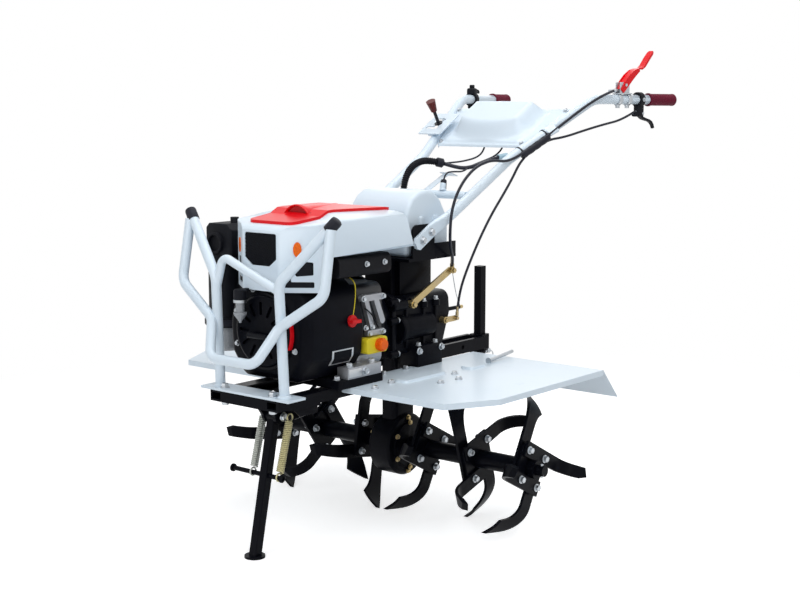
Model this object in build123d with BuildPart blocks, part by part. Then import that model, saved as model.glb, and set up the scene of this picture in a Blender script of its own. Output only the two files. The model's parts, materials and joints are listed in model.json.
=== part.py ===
from build123d import *
import os
from math import atan2, cos, degrees, hypot, radians, sin, tan

# A walk-behind diesel power tiller, parked on its rotor and its front stand.
# Millimetres. +X is the way it drives, +Y its left hand, +Z up.
# It is drawn with x = 0 at the rotor's axle and moved to its footprint's middle at the end.
# Heights stack up from the rotor: the rails clear its tips, and the rest stands on the rails.

os.makedirs("parts", exist_ok=True)

# Gaps at shafts, pins and slides
RUN_GAP = 0.3
SLIDE_GAP = 0.5

# Rotor: three four-tine sets a side on one shaft
TIP_R = 190.0
TIP_LEAD = 13.5
SHAFT_R = 15.0
SHAFT_END_Y = 484.0
SHAFT_STUB = 22.0
STUB_R = 14.0
SLEEVE_R = 24.0
SLEEVE_END_Y = SHAFT_END_Y - SHAFT_STUB
SET_FIRST_Y = 107.0
SET_PITCH = 164.0
PLATE_SIDE = 110.0
PLATE_ROUND = 12.0
PLATE_T = 8.0
TINE_T = 8.0
TINE_W = 40.0
TINE_INSET = 22.0
TINE_TAIL = 52.0

# Inner-face tines sweep forward like a scimitar and lean towards the middle
SWEEP_U = TIP_R - 98.0
SWEEP_R = 75.0
SWEEP_TURN = 60.0
SWEEP_END = 30.0
SWEEP_LEAN_U = TIP_R - 100.0
SWEEP_LEAN_R = 110.0
SWEEP_LEAN = 55.0

# Outer-face tines run straight and bend outward
STRAIGHT_REACH = TIP_R - 32.0
STRAIGHT_LEAN_U = TIP_R - 95.0
STRAIGHT_LEAN_R = 60.0
STRAIGHT_LEAN = 65.0

# The swept tine's outer toe corner is the rotor's farthest point
sweep_mid_w = TINE_INSET + TINE_W / 2
toe_out = 90 - SWEEP_TURN
toe_r = SWEEP_R + TINE_W / 2
toe_u = SWEEP_U + toe_r * cos(radians(toe_out)) + SWEEP_END * sin(radians(toe_out))
toe_w = sweep_mid_w - SWEEP_R + toe_r * sin(radians(toe_out)) - SWEEP_END * cos(radians(toe_out))
TOE_SKEW = degrees(atan2(-toe_w, toe_u))
AXLE_Z = hypot(toe_u, toe_w) * cos(radians(TIP_LEAD))

# Chassis rails, folded channels above the tines
ROTOR_CLEAR = 10.6
RAIL_H = 27.0
RAIL_TOP = AXLE_Z + TIP_R + ROTOR_CLEAR + RAIL_H
RAIL_LOW = RAIL_TOP - RAIL_H
RAIL_IN_Y = 75.0
RAIL_W = 40.0
RAIL_WALL = 5.0
RAIL_FRONT_X = 585.0
RAIL_REAR_X = -70.0
FRONT_TIE = 50.0
REAR_TIE = 18.0

# Final drive: a hub round the axle under a flat column
HUB_R = 85.0
HUB_HALF = 36.0
HUB_COVER_R = 62.0
HUB_COVER_T = 6.0
HUB_BOSS_R = 9.0
HUB_BOSSES = 6
COLUMN_HALF_X = 44.0
COLUMN_HALF_Y = 26.0
NECK_HALF_X = 58.0
NECK_HALF_Y = 42.0
NECK_T = 12.0

# Fenders, 2.5 mm sheet on the rails
SHEET = 2.5
FENDER_IN_Y = 85.0
FENDER_OUT_Y = 510.0
FENDER_FRONT_X = 365.0
FENDER_REAR_X = -230.0
FENDER_NOTCH_X = 235.0
FENDER_NOTCH_Y = 440.0
FENDER_LIP = 12.0
FLAP_RUN = 75.0
FLAP_DROP = 82.0
FLAP_IN_Y = 280.0
RIB_H = 6.0

# Front stand
STAND_X = 481.0
STAND_Z = RAIL_TOP - 66.0
STAND_FOOT_X = 554.0
STAND_TUBE = 24.0
STAND_PIN_R = 8.0
STAND_EYE_R = 16.0
STAND_FOOT_R = 26.0
STAND_FOOT_T = 6.0
CHEEK_T = 8.0
CHEEK_HALF_X = 44.0
BRACKET_T = 6.0
TBAR_R = 6.0
TBAR_ALONG = 150.0
TBAR_LEFT = 55.0
TBAR_RIGHT = 115.0
SPRING_Y = 45.0
SPRING_R = 9.0
SPRING_TOP_X = 468.0
SPRING_TOP_Z = STAND_Z + 10.0
SPRING_HOOK = 2.6

# Bumper tubes
BUMPER_R = 12.5
BASE_T = 6.0
BASE_HALF_Y = 150.0
POST_X = 555.0
POST_Y = 110.0
BEND_X = 567.0
BEND_Y = 107.0
BEND_Z = RAIL_TOP + 278.0
HORN_X = 520.0
HORN_Y = 243.0
HORN_Z = RAIL_TOP + 425.0
LOOP_X = 620.0
LOOP_Y = 76.0
LOOP_Z = RAIL_TOP + 88.0
BUMPER_BEND = 40.0
BRACE_R = 10.5
CAP_T = 5.0

# Engine
CRANK_Z = RAIL_TOP + 148.0
PLATE_TOP = RAIL_TOP + 24.0
PLATE_REAR_X = 235.0
PLATE_FRONT_X = 400.0
ENGINE_REAR_X = 205.0
CASE_FRONT_X = 300.0
CASE_HALF_Y = 115.0
FAN_R = 138.0
FAN_RISE = 38.0
CASE_TOP = CRANK_Z + FAN_R - FAN_RISE
FOOT_FRONT_X = 373.0
FOOT_REAR_X = 248.0
FOOT_OUT_Y = 150.0
FOOT_H = 28.0
FAN_FRONT_X = 505.0
FAN_ROUND = 20.0
STARTER_R = 95.0
STARTER_FRONT_X = 522.0
STARTER_RIM = 5.0
GRIP_STAND = 12.0

# Hood: side, plan and front outlines that meet in one shell
HOOD_WALL = 3.0
NOSE_X = 520.0
NOSE_HALF_Y = 60.0
NOSE_LOW_Z = CASE_TOP
CORNER_X = 460.0
FAN_COVER = 2.0
CORNER_Y = FAN_R + FAN_COVER
HOOD_REAR_X = 137.0
HOOD_REAR_Y = 168.0
HOOD_TOP_Z = NOSE_LOW_Z + 190.0
HOOD_SHOULDER_Y = 140.0
HOOD_SHOULDER_Z = HOOD_TOP_Z - 20.0
BROW_Z = HOOD_TOP_Z - 34.0
BROW_X = 400.0
SKIRT_X = 437.0
SIDE_LOW_Z = NOSE_LOW_Z + 82.0
DECK_Z = SIDE_LOW_Z + 12.0
EDGE_ROUND = 22.0
COVER_T = 7.0
COVER_REAR_X = 150.0
COVER_FRONT_X = 488.0
COVER_REAR_Y = 108.0
COVER_FRONT_Y = 76.0
SCOOP_X = 388.0
SCOOP_REAR_X = 250.0
SCOOP_HALF_Y = 46.0
SCOOP_H = 3.0

# Transmission
BELL_FRONT_R = 114.0
BELL_REAR_X = 125.0
FLANGE_T = 14.0
FLANGE_OVER = 12.0
BOX_HALF_Y = 85.0
BOX_LOW_Z = RAIL_TOP + 34.0
BOX_TOP_Z = CRANK_Z + 44.0
BOX_REAR_X = -112.0
BOX_ROUND = 24.0
BOX_FOOT_X = 52.0
BOX_FOOT_Y = 112.0

# Handle bracket and bars
BRACKET_Z = BOX_TOP_Z + 96.0
BRACKET_TOP = BRACKET_Z + 8.0
EAR_IN_Y = 118.0
EAR_T = 6.0
EAR_H = 95.0
BAR_R = 14.0
BAR_PTS = (
    (75.0, 138.6, BRACKET_TOP + 39.0),
    (-300.0, 152.0, BRACKET_TOP + 246.0),
    (-600.0, 236.0, BRACKET_TOP + 410.0),
    (-935.0, 308.0, BRACKET_TOP + 408.0),
)
BAR_BENDS = (150.0, 110.0)
BAR_FLAT_T = 10.0
BAR_FLAT_H = 36.0
BAR_FLAT_LEN = 84.0
BOLT_R = 5.0
GRIP_R = 17.5
GRIP_LEN = 115.0
GRIP_END = 5.8
TIE_R = 11.0

# Battery box
BATTERY_REAR_X = -95.0
BATTERY_FRONT_X = 85.0
BATTERY_HALF_Y = 100.0
BATTERY_TOP = BRACKET_TOP + 175.0

# Console and gear gate between the bars
CONSOLE_LOW = (-363.0, BRACKET_TOP + 277.0)
CONSOLE_HIGH = (-539.0, BRACKET_TOP + 382.0)
CONSOLE_LOW_Y = 155.0
CONSOLE_HIGH_Y = 204.0
HUMP_H = 46.0
GATE_X = -415.0
GATE_Y = -184.2
GATE_Z = BRACKET_TOP + 336.0
GATE_LEN = 112.0
GATE_W = 84.0
GATE_LEG = 7.6

# Rear hitch and depth bar
SOCKET_X = -376.0
SOCKET_LOW = RAIL_TOP - 30.0
SOCKET_TOP = RAIL_TOP + 26.0
SOCKET_WALL = 9.0
DEPTH_SIDE = 24.0
DEPTH_TOP = RAIL_TOP + 226.0
DEPTH_LOW = RAIL_TOP - 172.0
HITCH_IN_Y = 22.0
HITCH_OUT_Y = 34.0
HITCH_LOW = RAIL_TOP - 12.0
HITCH_TOP = RAIL_TOP + 24.0
TOW_X = -250.0
TOW_Z = RAIL_TOP + 6.0
TOW_R = 6.5


def block(x0, x1, y0, y1, z0, z1, mode=Mode.ADD):
    """A box between two corners."""
    with Locations(((x0 + x1) / 2, (y0 + y1) / 2, (z0 + z1) / 2)):
        Box(abs(x1 - x0), abs(y1 - y0), abs(z1 - z0), mode=mode)


def rod(start, end, radius, mode=Mode.ADD):
    """A round bar from one point to another."""
    along = Vector(end) - Vector(start)
    with BuildSketch(Plane(origin=start, z_dir=along)) as section:
        Circle(radius)
    extrude(section.sketch, amount=along.length, mode=mode)


def bent_tube(points, bends, radius):
    """A round bar along straight runs joined by tangent arcs."""
    with BuildLine() as route:
        FilletPolyline(*points, radius=list(bends))
    with BuildSketch(Plane(origin=points[0], z_dir=Vector(points[1]) - Vector(points[0]))) as section:
        Circle(radius)
    sweep(section.sketch, path=route.wires()[0])


def cord(points, radius):
    """A cable whose arcs are as large as its runs allow."""
    bends = []
    for before, at, after in zip(points, points[1:], points[2:]):
        run_in = Vector(at) - Vector(before)
        run_out = Vector(after) - Vector(at)
        turn = radians(run_in.get_angle(run_out))
        bends.append(0.45 * min(run_in.length, run_out.length) / tan(turn / 2))
    print("bend radii", [round(bend) for bend in bends])
    bent_tube(points, bends, radius)


def along_x(x0, x1, y, z, radius, mode=Mode.ADD):
    """A round bar along X."""
    rod((x0, y, z), (x1, y, z), radius, mode)


def along_y(x, y0, y1, z, radius, mode=Mode.ADD):
    """A round bar along Y."""
    rod((x, y0, z), (x, y1, z), radius, mode)


def flip(points):
    """The same points on the other side of the machine."""
    return [(x, -y, z) for x, y, z in points]


finished = {}


# Rotor shaft, turned down at its ends for a disc or a wheel
with BuildPart() as rotor_shaft:
    along_y(0, -SLEEVE_END_Y, SLEEVE_END_Y, AXLE_Z, SHAFT_R)
    along_y(0, -SHAFT_END_Y, SHAFT_END_Y, AXLE_Z, STUB_R)
finished["rotor_shaft"] = rotor_shaft


def bent_blade(bend_at, bend_r, lean, length):
    """The edge view of a tine: flat on its plate, then curved up and out of it."""
    near = PLATE_T / 2
    turn = radians(lean)
    half = turn / 2
    mid_z = near + bend_r
    inner_r = bend_r - TINE_T
    outer_end = (bend_at + bend_r * sin(turn), mid_z - bend_r * cos(turn))
    inner_end = (bend_at + inner_r * sin(turn), mid_z - inner_r * cos(turn))
    run = (length * cos(turn), length * sin(turn))
    outer_toe = (outer_end[0] + run[0], outer_end[1] + run[1])
    inner_toe = (inner_end[0] + run[0], inner_end[1] + run[1])
    inner_start = (bend_at, near + TINE_T)
    with BuildLine() as outline:
        Line((-TINE_TAIL, near), (bend_at, near))
        ThreePointArc((bend_at, near), (bend_at + bend_r * sin(half), mid_z - bend_r * cos(half)), outer_end)
        Polyline(outer_end, outer_toe, inner_toe, inner_end)
        ThreePointArc(inner_end, (bend_at + inner_r * sin(half), mid_z - inner_r * cos(half)), inner_start)
        Polyline(inner_start, (-TINE_TAIL, near + TINE_T), (-TINE_TAIL, near))
    make_face(outline.edges())


# Tine outlines, lying flat: along x from the axle, across in y, the lean up in z
with BuildPart() as swept_tine:
    with BuildSketch(Plane.XZ):
        bent_blade(SWEEP_LEAN_U, SWEEP_LEAN_R, SWEEP_LEAN, TIP_R / 2)
    extrude(amount=TIP_R, both=True)
    with BuildSketch(Plane.XY):
        with BuildLine():
            pivot = (SWEEP_U, sweep_mid_w - SWEEP_R)
            outer_arc = CenterArc(pivot, toe_r, 90, -SWEEP_TURN)
            inner_arc = CenterArc(pivot, SWEEP_R - TINE_W / 2, 90, -SWEEP_TURN)
            Polyline(inner_arc @ 0, (-TINE_TAIL, TINE_INSET), (-TINE_TAIL, TINE_INSET + TINE_W), outer_arc @ 0)
            end_run = (outer_arc % 1) * SWEEP_END
            Polyline(outer_arc @ 1, (outer_arc @ 1) + end_run, (inner_arc @ 1) + end_run * 0.6, inner_arc @ 1)
        make_face()
    extrude(amount=TIP_R, mode=Mode.INTERSECT)

with BuildPart() as straight_tine:
    with BuildSketch(Plane.XZ):
        bent_blade(STRAIGHT_LEAN_U, STRAIGHT_LEAN_R, STRAIGHT_LEAN, TIP_R / 2)
    extrude(amount=TIP_R, both=True)
    with BuildSketch(Plane.XY):
        with BuildLine():
            edge = TINE_INSET - 2
            Polyline(
                (-TINE_TAIL, edge), (STRAIGHT_REACH - 8, edge + 6), (STRAIGHT_REACH, edge + 14),
                (STRAIGHT_REACH - 4, edge + TINE_W - 2), (STRAIGHT_LEAN_U, edge + TINE_W),
                (-TINE_TAIL, edge + TINE_W), (-TINE_TAIL, edge),
            )
        make_face()
    extrude(amount=TIP_R, mode=Mode.INTERSECT)


def add_tine(blade, plate_y, angle, lean):
    """One tine on the plate's face that looks the way it leans."""
    turn = radians(angle)
    hand = blade if lean > 0 else mirror(blade, about=Plane.XZ, mode=Mode.PRIVATE)
    seat = Plane(origin=(0, plate_y, AXLE_Z), x_dir=(cos(turn), 0, sin(turn)), z_dir=(0, lean, 0))
    add(hand.moved(seat.location))


def add_set(side, index, phase):
    """A square plate on a sleeve with four tines, two on each face."""
    plate_y = side * (SET_FIRST_Y + SET_PITCH * index)
    first = SET_FIRST_Y + SET_PITCH * (index - 0.5) if index else HUB_HALF + 2 * HUB_COVER_T
    last = min(SET_FIRST_Y + SET_PITCH * (index + 0.5), SLEEVE_END_Y)
    along_y(0, side * first, side * last, AXLE_Z, SLEEVE_R)
    turn = radians(phase)
    square = Plane(origin=(0, plate_y, AXLE_Z), x_dir=(cos(turn), 0, sin(turn)), z_dir=(0, 1, 0))
    with BuildSketch(square) as plate:
        RectangleRounded(PLATE_SIDE, PLATE_SIDE, PLATE_ROUND)
    extrude(plate.sketch, amount=PLATE_T / 2, both=True)
    for half_turn in (0, 180):
        add_tine(straight_tine.part, plate_y, phase + 180 + half_turn, side)
        add_tine(swept_tine.part, plate_y, phase + 270 + half_turn, -side)
    along_y(0, side * (first - 1), side * (last + 1), AXLE_Z, SHAFT_R + RUN_GAP / 2, Mode.SUBTRACT)


# The lowest toes stand behind the axle on the left and ahead of it on the right
LEFT_PHASE = -TIP_LEAD - TOE_SKEW
RIGHT_PHASE = TIP_LEAD - TOE_SKEW
SET_STEP = 45

with BuildPart() as tines_left_inner:
    add_set(1, 0, LEFT_PHASE + SET_STEP)
finished["tines_left_inner"] = tines_left_inner

with BuildPart() as tines_left_middle:
    add_set(1, 1, LEFT_PHASE)
finished["tines_left_middle"] = tines_left_middle

with BuildPart() as tines_left_outer:
    add_set(1, 2, LEFT_PHASE + SET_STEP)
finished["tines_left_outer"] = tines_left_outer

with BuildPart() as tines_right_inner:
    add_set(-1, 0, RIGHT_PHASE)
finished["tines_right_inner"] = tines_right_inner

with BuildPart() as tines_right_middle:
    add_set(-1, 1, RIGHT_PHASE - SET_STEP)
finished["tines_right_middle"] = tines_right_middle

with BuildPart() as tines_right_outer:
    add_set(-1, 2, RIGHT_PHASE)
finished["tines_right_outer"] = tines_right_outer

# Final drive: round hub, bossed side covers and the column up to the gearbox
with BuildPart() as final_drive:
    along_y(0, -HUB_HALF, HUB_HALF, AXLE_Z, HUB_R)
    chamfer(final_drive.edges().filter_by(GeomType.CIRCLE), 6)
    block(-COLUMN_HALF_X, COLUMN_HALF_X, -COLUMN_HALF_Y, COLUMN_HALF_Y, AXLE_Z + HUB_R / 2, BOX_LOW_Z - NECK_T)
    fillet(final_drive.edges().filter_by(Axis.Z), 14)
    block(-NECK_HALF_X, NECK_HALF_X, -NECK_HALF_Y, NECK_HALF_Y, BOX_LOW_Z - NECK_T, BOX_LOW_Z)
    along_y(0, -HUB_HALF - HUB_COVER_T, HUB_HALF + HUB_COVER_T, AXLE_Z, HUB_COVER_R)
    for step in range(HUB_BOSSES):
        turn = radians(360 / HUB_BOSSES * (step + 0.5))
        boss = (HUB_COVER_R * cos(turn), HUB_COVER_R * sin(turn) + AXLE_Z)
        along_y(boss[0], -HUB_HALF - HUB_COVER_T, HUB_HALF + HUB_COVER_T, boss[1], HUB_BOSS_R)
    along_y(0, -SET_FIRST_Y, SET_FIRST_Y, AXLE_Z, SHAFT_R + RUN_GAP, Mode.SUBTRACT)
finished["final_drive"] = final_drive

# Chassis: two inward channels, tied at both ends
with BuildPart() as chassis_rails:
    for side in (1, -1):
        with BuildSketch(Plane.YZ.offset(RAIL_REAR_X)):
            with Locations((side * (RAIL_IN_Y + RAIL_W / 2), RAIL_TOP - RAIL_H / 2)):
                Rectangle(RAIL_W, RAIL_H)
            with Locations((side * (RAIL_IN_Y + RAIL_W / 2 - RAIL_WALL), RAIL_TOP - RAIL_H / 2)):
                Rectangle(RAIL_W, RAIL_H - 2 * RAIL_WALL, mode=Mode.SUBTRACT)
        extrude(amount=RAIL_FRONT_X - RAIL_REAR_X)
    tie_y = RAIL_IN_Y + RAIL_WALL
    block(RAIL_FRONT_X - FRONT_TIE, RAIL_FRONT_X, -tie_y, tie_y, RAIL_LOW, RAIL_TOP)
    block(RAIL_REAR_X, RAIL_REAR_X + REAR_TIE, -tie_y, tie_y, RAIL_LOW, RAIL_TOP)
finished["chassis_rails"] = chassis_rails

# Stand bracket: a plate under the rails, two cheeks, the pivot pin and the spring lugs
CHEEK_IN_Y = STAND_EYE_R
with BuildPart() as stand_bracket:
    plate_low = RAIL_LOW - BRACKET_T
    plate_y = RAIL_IN_Y + RAIL_W
    block(STAND_X - CHEEK_HALF_X - 2, STAND_X + CHEEK_HALF_X + 4, -plate_y, plate_y, plate_low, RAIL_LOW)
    for side in (1, -1):
        with BuildSketch(Plane.XZ.offset(-side * (CHEEK_IN_Y + CHEEK_T / 2))):
            with BuildLine():
                nose_r = STAND_EYE_R + 4
                Polyline(
                    (STAND_X - nose_r, STAND_Z), (STAND_X - CHEEK_HALF_X, plate_low),
                    (STAND_X + CHEEK_HALF_X, plate_low), (STAND_X + nose_r, STAND_Z),
                )
                ThreePointArc((STAND_X + nose_r, STAND_Z), (STAND_X, STAND_Z - nose_r), (STAND_X - nose_r, STAND_Z))
            make_face()
        extrude(amount=CHEEK_T / 2, both=True)
        block(SPRING_TOP_X - 8, SPRING_TOP_X + 8, side * (SPRING_Y - 5), side * (SPRING_Y + 5),
              SPRING_TOP_Z + SPRING_HOOK, plate_low)
    pin_y = CHEEK_IN_Y + CHEEK_T + 8
    along_y(STAND_X, -pin_y, pin_y, STAND_Z, STAND_PIN_R)
finished["stand_bracket"] = stand_bracket

# Stand leg: eye, square tube, cross bar and foot disc
stand_dir = (Vector(STAND_FOOT_X, 0, 0) - Vector(STAND_X, 0, STAND_Z)).normalized()
tbar = Vector(STAND_X, 0, STAND_Z) + stand_dir * TBAR_ALONG
with BuildPart() as stand_leg:
    eye_y = CHEEK_IN_Y - RUN_GAP
    along_y(STAND_X, -eye_y, eye_y, STAND_Z, STAND_EYE_R)
    with BuildSketch(Plane(origin=(STAND_X, 0, STAND_Z), x_dir=(0, 1, 0), z_dir=stand_dir)):
        RectangleRounded(STAND_TUBE, STAND_TUBE, 3)
    extrude(amount=(STAND_Z - STAND_FOOT_T / 2) / abs(stand_dir.Z))
    rod((STAND_FOOT_X, 0, 0), (STAND_FOOT_X, 0, STAND_FOOT_T), STAND_FOOT_R)
    block(STAND_X, STAND_FOOT_X + STAND_Z, -STAND_FOOT_R, STAND_FOOT_R, -STAND_TUBE, 0, Mode.SUBTRACT)
    along_y(tbar.X, -TBAR_RIGHT, TBAR_LEFT, tbar.Z, TBAR_R)
    along_y(STAND_X, -STAND_TUBE, STAND_TUBE, STAND_Z, STAND_PIN_R + RUN_GAP, Mode.SUBTRACT)
finished["stand_leg"] = stand_leg

# Return springs between the bracket's lugs and the cross bar
with BuildPart() as stand_springs:
    for side in (1, -1):
        top = Vector(SPRING_TOP_X, side * SPRING_Y, SPRING_TOP_Z)
        low = Vector(tbar.X, side * SPRING_Y, tbar.Z)
        rod(top, low + (top - low).normalized() * (TBAR_R + SPRING_HOOK), SPRING_R)
finished["stand_springs"] = stand_springs

# Bumper: base plate, two posts that splay into horns, a low loop and one slanting brace
horn = [(POST_X, POST_Y, RAIL_TOP + 1), (BEND_X, BEND_Y, BEND_Z), (HORN_X, HORN_Y, HORN_Z)]
half_loop = [
    (HORN_X + 8, HORN_Y - 5, HORN_Z - 15), (POST_X + 1, HORN_Y - 3, BEND_Z - 22),
    (BEND_X + 8, BEND_Y + 8, BEND_Z - 102), (LOOP_X, LOOP_Y, LOOP_Z),
]
brace = [
    (BEND_X - 1, 1 - BEND_Y, BEND_Z - 26), (POST_X + 5, 19 - BEND_Y, BEND_Z + 52),
    (BEND_X - 1, BEND_Y - 3, BEND_Z - 18),
]
with BuildPart() as front_bumper:
    block(RAIL_FRONT_X - 60, RAIL_FRONT_X, -BASE_HALF_Y, BASE_HALF_Y, RAIL_TOP, RAIL_TOP + BASE_T)
    bent_tube(horn, [BUMPER_BEND], BUMPER_R)
    bent_tube(flip(horn), [BUMPER_BEND], BUMPER_R)
    loop_bends = [BUMPER_BEND, BUMPER_BEND, BUMPER_BEND - 4]
    bent_tube(half_loop + flip(half_loop)[::-1], loop_bends + loop_bends[::-1], BUMPER_R)
    bent_tube(brace, [BUMPER_BEND / 2], BRACE_R)
    block(HORN_X, LOOP_X, -HORN_Y, HORN_Y, RAIL_LOW, RAIL_TOP, Mode.SUBTRACT)
finished["front_bumper"] = front_bumper

# Caps on the horns
with BuildPart() as bumper_caps:
    for points in (horn, flip(horn)):
        end = Vector(points[2])
        out = (end - Vector(points[1])).normalized()
        rod(end, end + out * CAP_T, BUMPER_R + 1.5)
finished["bumper_caps"] = bumper_caps

# Engine mounting plate over the fenders' inner edges
mount_low = RAIL_TOP + SHEET
with BuildPart() as engine_mount_plate:
    block(PLATE_REAR_X, PLATE_FRONT_X, -FOOT_OUT_Y, FOOT_OUT_Y, mount_low, PLATE_TOP)
    fillet(engine_mount_plate.edges().filter_by(Axis.Z), 10)
finished["engine_mount_plate"] = engine_mount_plate

# Crankcase with its feet, a round cover on its right side and the governor arms on its left
ARM_T = 14.0
case_mid_x = (ENGINE_REAR_X + CASE_FRONT_X) / 2
with BuildPart() as crankcase:
    block(ENGINE_REAR_X, CASE_FRONT_X, -CASE_HALF_Y, CASE_HALF_Y, PLATE_TOP + 12, CASE_TOP)
    fillet(crankcase.edges().filter_by(Axis.X), BOX_ROUND)
    foot_top = PLATE_TOP + FOOT_H
    for side in (1, -1):
        block(FOOT_REAR_X, FOOT_FRONT_X, side * (CASE_HALF_Y - 1), side * FOOT_OUT_Y, PLATE_TOP, foot_top)
        block(FOOT_REAR_X, CASE_FRONT_X, side * CASE_HALF_Y / 2, side * CASE_HALF_Y, PLATE_TOP, foot_top)
    along_y(case_mid_x, -CASE_HALF_Y, -CASE_HALF_Y - 8, CRANK_Z, 44)
    with BuildSketch(Plane.XZ.offset(-CASE_HALF_Y)):
        with Locations((case_mid_x + 1, CASE_TOP - 34)):
            SlotOverall(88, 16)
        with Locations((CASE_FRONT_X - 30, CASE_TOP - 66)):
            SlotOverall(86, 15, rotation=72)
        with Locations((CASE_FRONT_X - 72, CASE_TOP - 70)):
            SlotOverall(74, 18, rotation=66)
        with Locations((CASE_FRONT_X - 58, CRANK_Z - 24)):
            Rectangle(62, 14)
    extrude(amount=-ARM_T)
finished["crankcase"] = crankcase

# Cylinder cowl under the hood, let down over the fan housing
COWL_RIGHT_Y = -88.0
COWL_LEFT_Y = 60.0
with BuildPart() as cylinder_cowl:
    block(CASE_FRONT_X - 25, FAN_FRONT_X - 90, COWL_RIGHT_Y, COWL_LEFT_Y, CASE_TOP, DECK_Z)
    fillet(cylinder_cowl.edges().filter_by(Axis.Z), 14)
    along_x(CASE_FRONT_X, FAN_FRONT_X, 0, CRANK_Z, FAN_R, Mode.SUBTRACT)
finished["cylinder_cowl"] = cylinder_cowl

# Silencer beside the cowl
with BuildPart() as silencer:
    block(ENGINE_REAR_X, PLATE_FRONT_X, COWL_LEFT_Y, 148, CASE_TOP + 26, SIDE_LOW_Z - 4)
    fillet(silencer.edges().filter_by(Axis.X), 16)
finished["silencer"] = silencer

# Fan housing: round over the flywheel, with a flat-sided sump below
with BuildPart() as fan_housing:
    with BuildSketch(Plane.YZ.offset(CASE_FRONT_X)) as fan_outline:
        with BuildLine():
            sump_low = PLATE_TOP + 1
            Polyline(
                (FAN_R, CRANK_Z), (FAN_R - 6, CRANK_Z - 68), (FAN_R - 46, sump_low),
                (46 - FAN_R, sump_low), (6 - FAN_R, CRANK_Z - 68), (-FAN_R, CRANK_Z),
            )
            ThreePointArc((-FAN_R, CRANK_Z), (0, CRANK_Z + FAN_R), (FAN_R, CRANK_Z))
        make_face()
        fillet(fan_outline.vertices().sort_by(Axis.Y)[:4], 26)
    extrude(amount=FAN_FRONT_X - CASE_FRONT_X)
    chamfer(fan_housing.faces().sort_by(Axis.X)[-1].edges(), FAN_ROUND)
finished["fan_housing"] = fan_housing

# Recoil starter cover with its ring of slots
with BuildPart() as recoil_starter:
    along_x(FAN_FRONT_X, STARTER_FRONT_X, 0, CRANK_Z, STARTER_R - STARTER_RIM)
    fillet(recoil_starter.edges().group_by(Axis.X)[-1], 10)
    with BuildSketch(Plane.YZ.offset(STARTER_FRONT_X)):
        with Locations((0, CRANK_Z)):
            with PolarLocations(STARTER_R * 0.6, 12):
                SlotOverall(34, 9)
    extrude(amount=-8, mode=Mode.SUBTRACT)
finished["recoil_starter"] = recoil_starter

# Starter's pull grip and the rim round its cover
with BuildPart() as starter_grip:
    along_x(STARTER_FRONT_X, STARTER_FRONT_X + GRIP_STAND, 0, CRANK_Z - 10, 6)
    along_y(STARTER_FRONT_X + GRIP_STAND, -32, 32, CRANK_Z - 10, 7)
    with BuildSketch(Plane.YZ.offset(FAN_FRONT_X)):
        with Locations((0, CRANK_Z)):
            Circle(STARTER_R)
            Circle(STARTER_R - STARTER_RIM, mode=Mode.SUBTRACT)
    extrude(amount=9)
finished["starter_grip"] = starter_grip


def hood_form(inset, drop):
    """The hood's solid outline, drawn in by inset, its open edges lower by drop."""
    front = NOSE_X - inset
    top = HOOD_TOP_Z - inset
    rear = HOOD_REAR_X + inset
    low = NOSE_LOW_Z - drop
    side_low = SIDE_LOW_Z - drop
    with BuildSketch(Plane.XZ) as side_view:
        with BuildLine():
            Polyline(
                (front, low), (front, BROW_Z - inset), (BROW_X, BROW_Z + 14 - inset), (BROW_X - 28, top - 7),
                ((BROW_X + rear) / 2, top), (rear, top - 14), (rear, side_low + 8), (SKIRT_X - 14, side_low),
                (SKIRT_X, side_low - 16), (SKIRT_X, low), (front, low),
            )
        make_face()
        fillet(side_view.vertices().group_by(Axis.X)[-1].sort_by(Axis.Y)[-1], EDGE_ROUND + 4 - inset)
        fillet(side_view.vertices().group_by(Axis.X)[0].sort_by(Axis.Y)[-1], EDGE_ROUND - inset)
    extrude(side_view.sketch, amount=HOOD_REAR_Y * 2, both=True)
    with BuildSketch(Plane.XY.offset(RAIL_TOP)) as plan_view:
        with BuildLine():
            slant_y = NOSE_HALF_Y - inset / 2
            Polyline(
                (front, -slant_y), (front, slant_y), (CORNER_X - inset / 2, CORNER_Y - inset),
                (rear, HOOD_REAR_Y - inset), (rear, inset - HOOD_REAR_Y), (CORNER_X - inset / 2, inset - CORNER_Y),
                (front, -slant_y),
            )
        make_face()
        fillet(plan_view.vertices().sort_by(Axis.X)[2:], EDGE_ROUND - 6 - inset)
    extrude(plan_view.sketch, amount=HOOD_TOP_Z, mode=Mode.INTERSECT)
    with BuildSketch(Plane.YZ) as front_view:
        with BuildLine():
            side_y = HOOD_REAR_Y + 5 - inset
            shoulder = (HOOD_SHOULDER_Y - inset, HOOD_SHOULDER_Z - inset)
            Polyline((0, RAIL_TOP), (side_y, RAIL_TOP), (side_y, SIDE_LOW_Z), shoulder)
            ThreePointArc(shoulder, (HOOD_SHOULDER_Y * 0.64, top - 6), (0, top))
            Line((0, top), (0, RAIL_TOP))
        make_face()
        fillet(front_view.vertices().sort_by_distance(shoulder)[0], EDGE_ROUND - 6 - inset)
        mirror(about=Plane.YZ)
    extrude(front_view.sketch, amount=NOSE_X * 2, mode=Mode.INTERSECT)


# Openings in the nose: grille in front, a window and a step-shaped slot on each slanted corner
GRILLE_HALF_Y = 53.0
GRILLE_LOW = NOSE_LOW_Z + 61.0
GRILLE_TOP = BROW_Z - 16.0
GRILLE_CUT_Y = 24.0
GRILLE_CUT_Z = 18.0
SLOT_LOW = NOSE_LOW_Z + 12.0
WINDOW_LOW = NOSE_LOW_Z + 39.0
WINDOW_H = 38.0
OPENING_DEEP = 9.0


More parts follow.
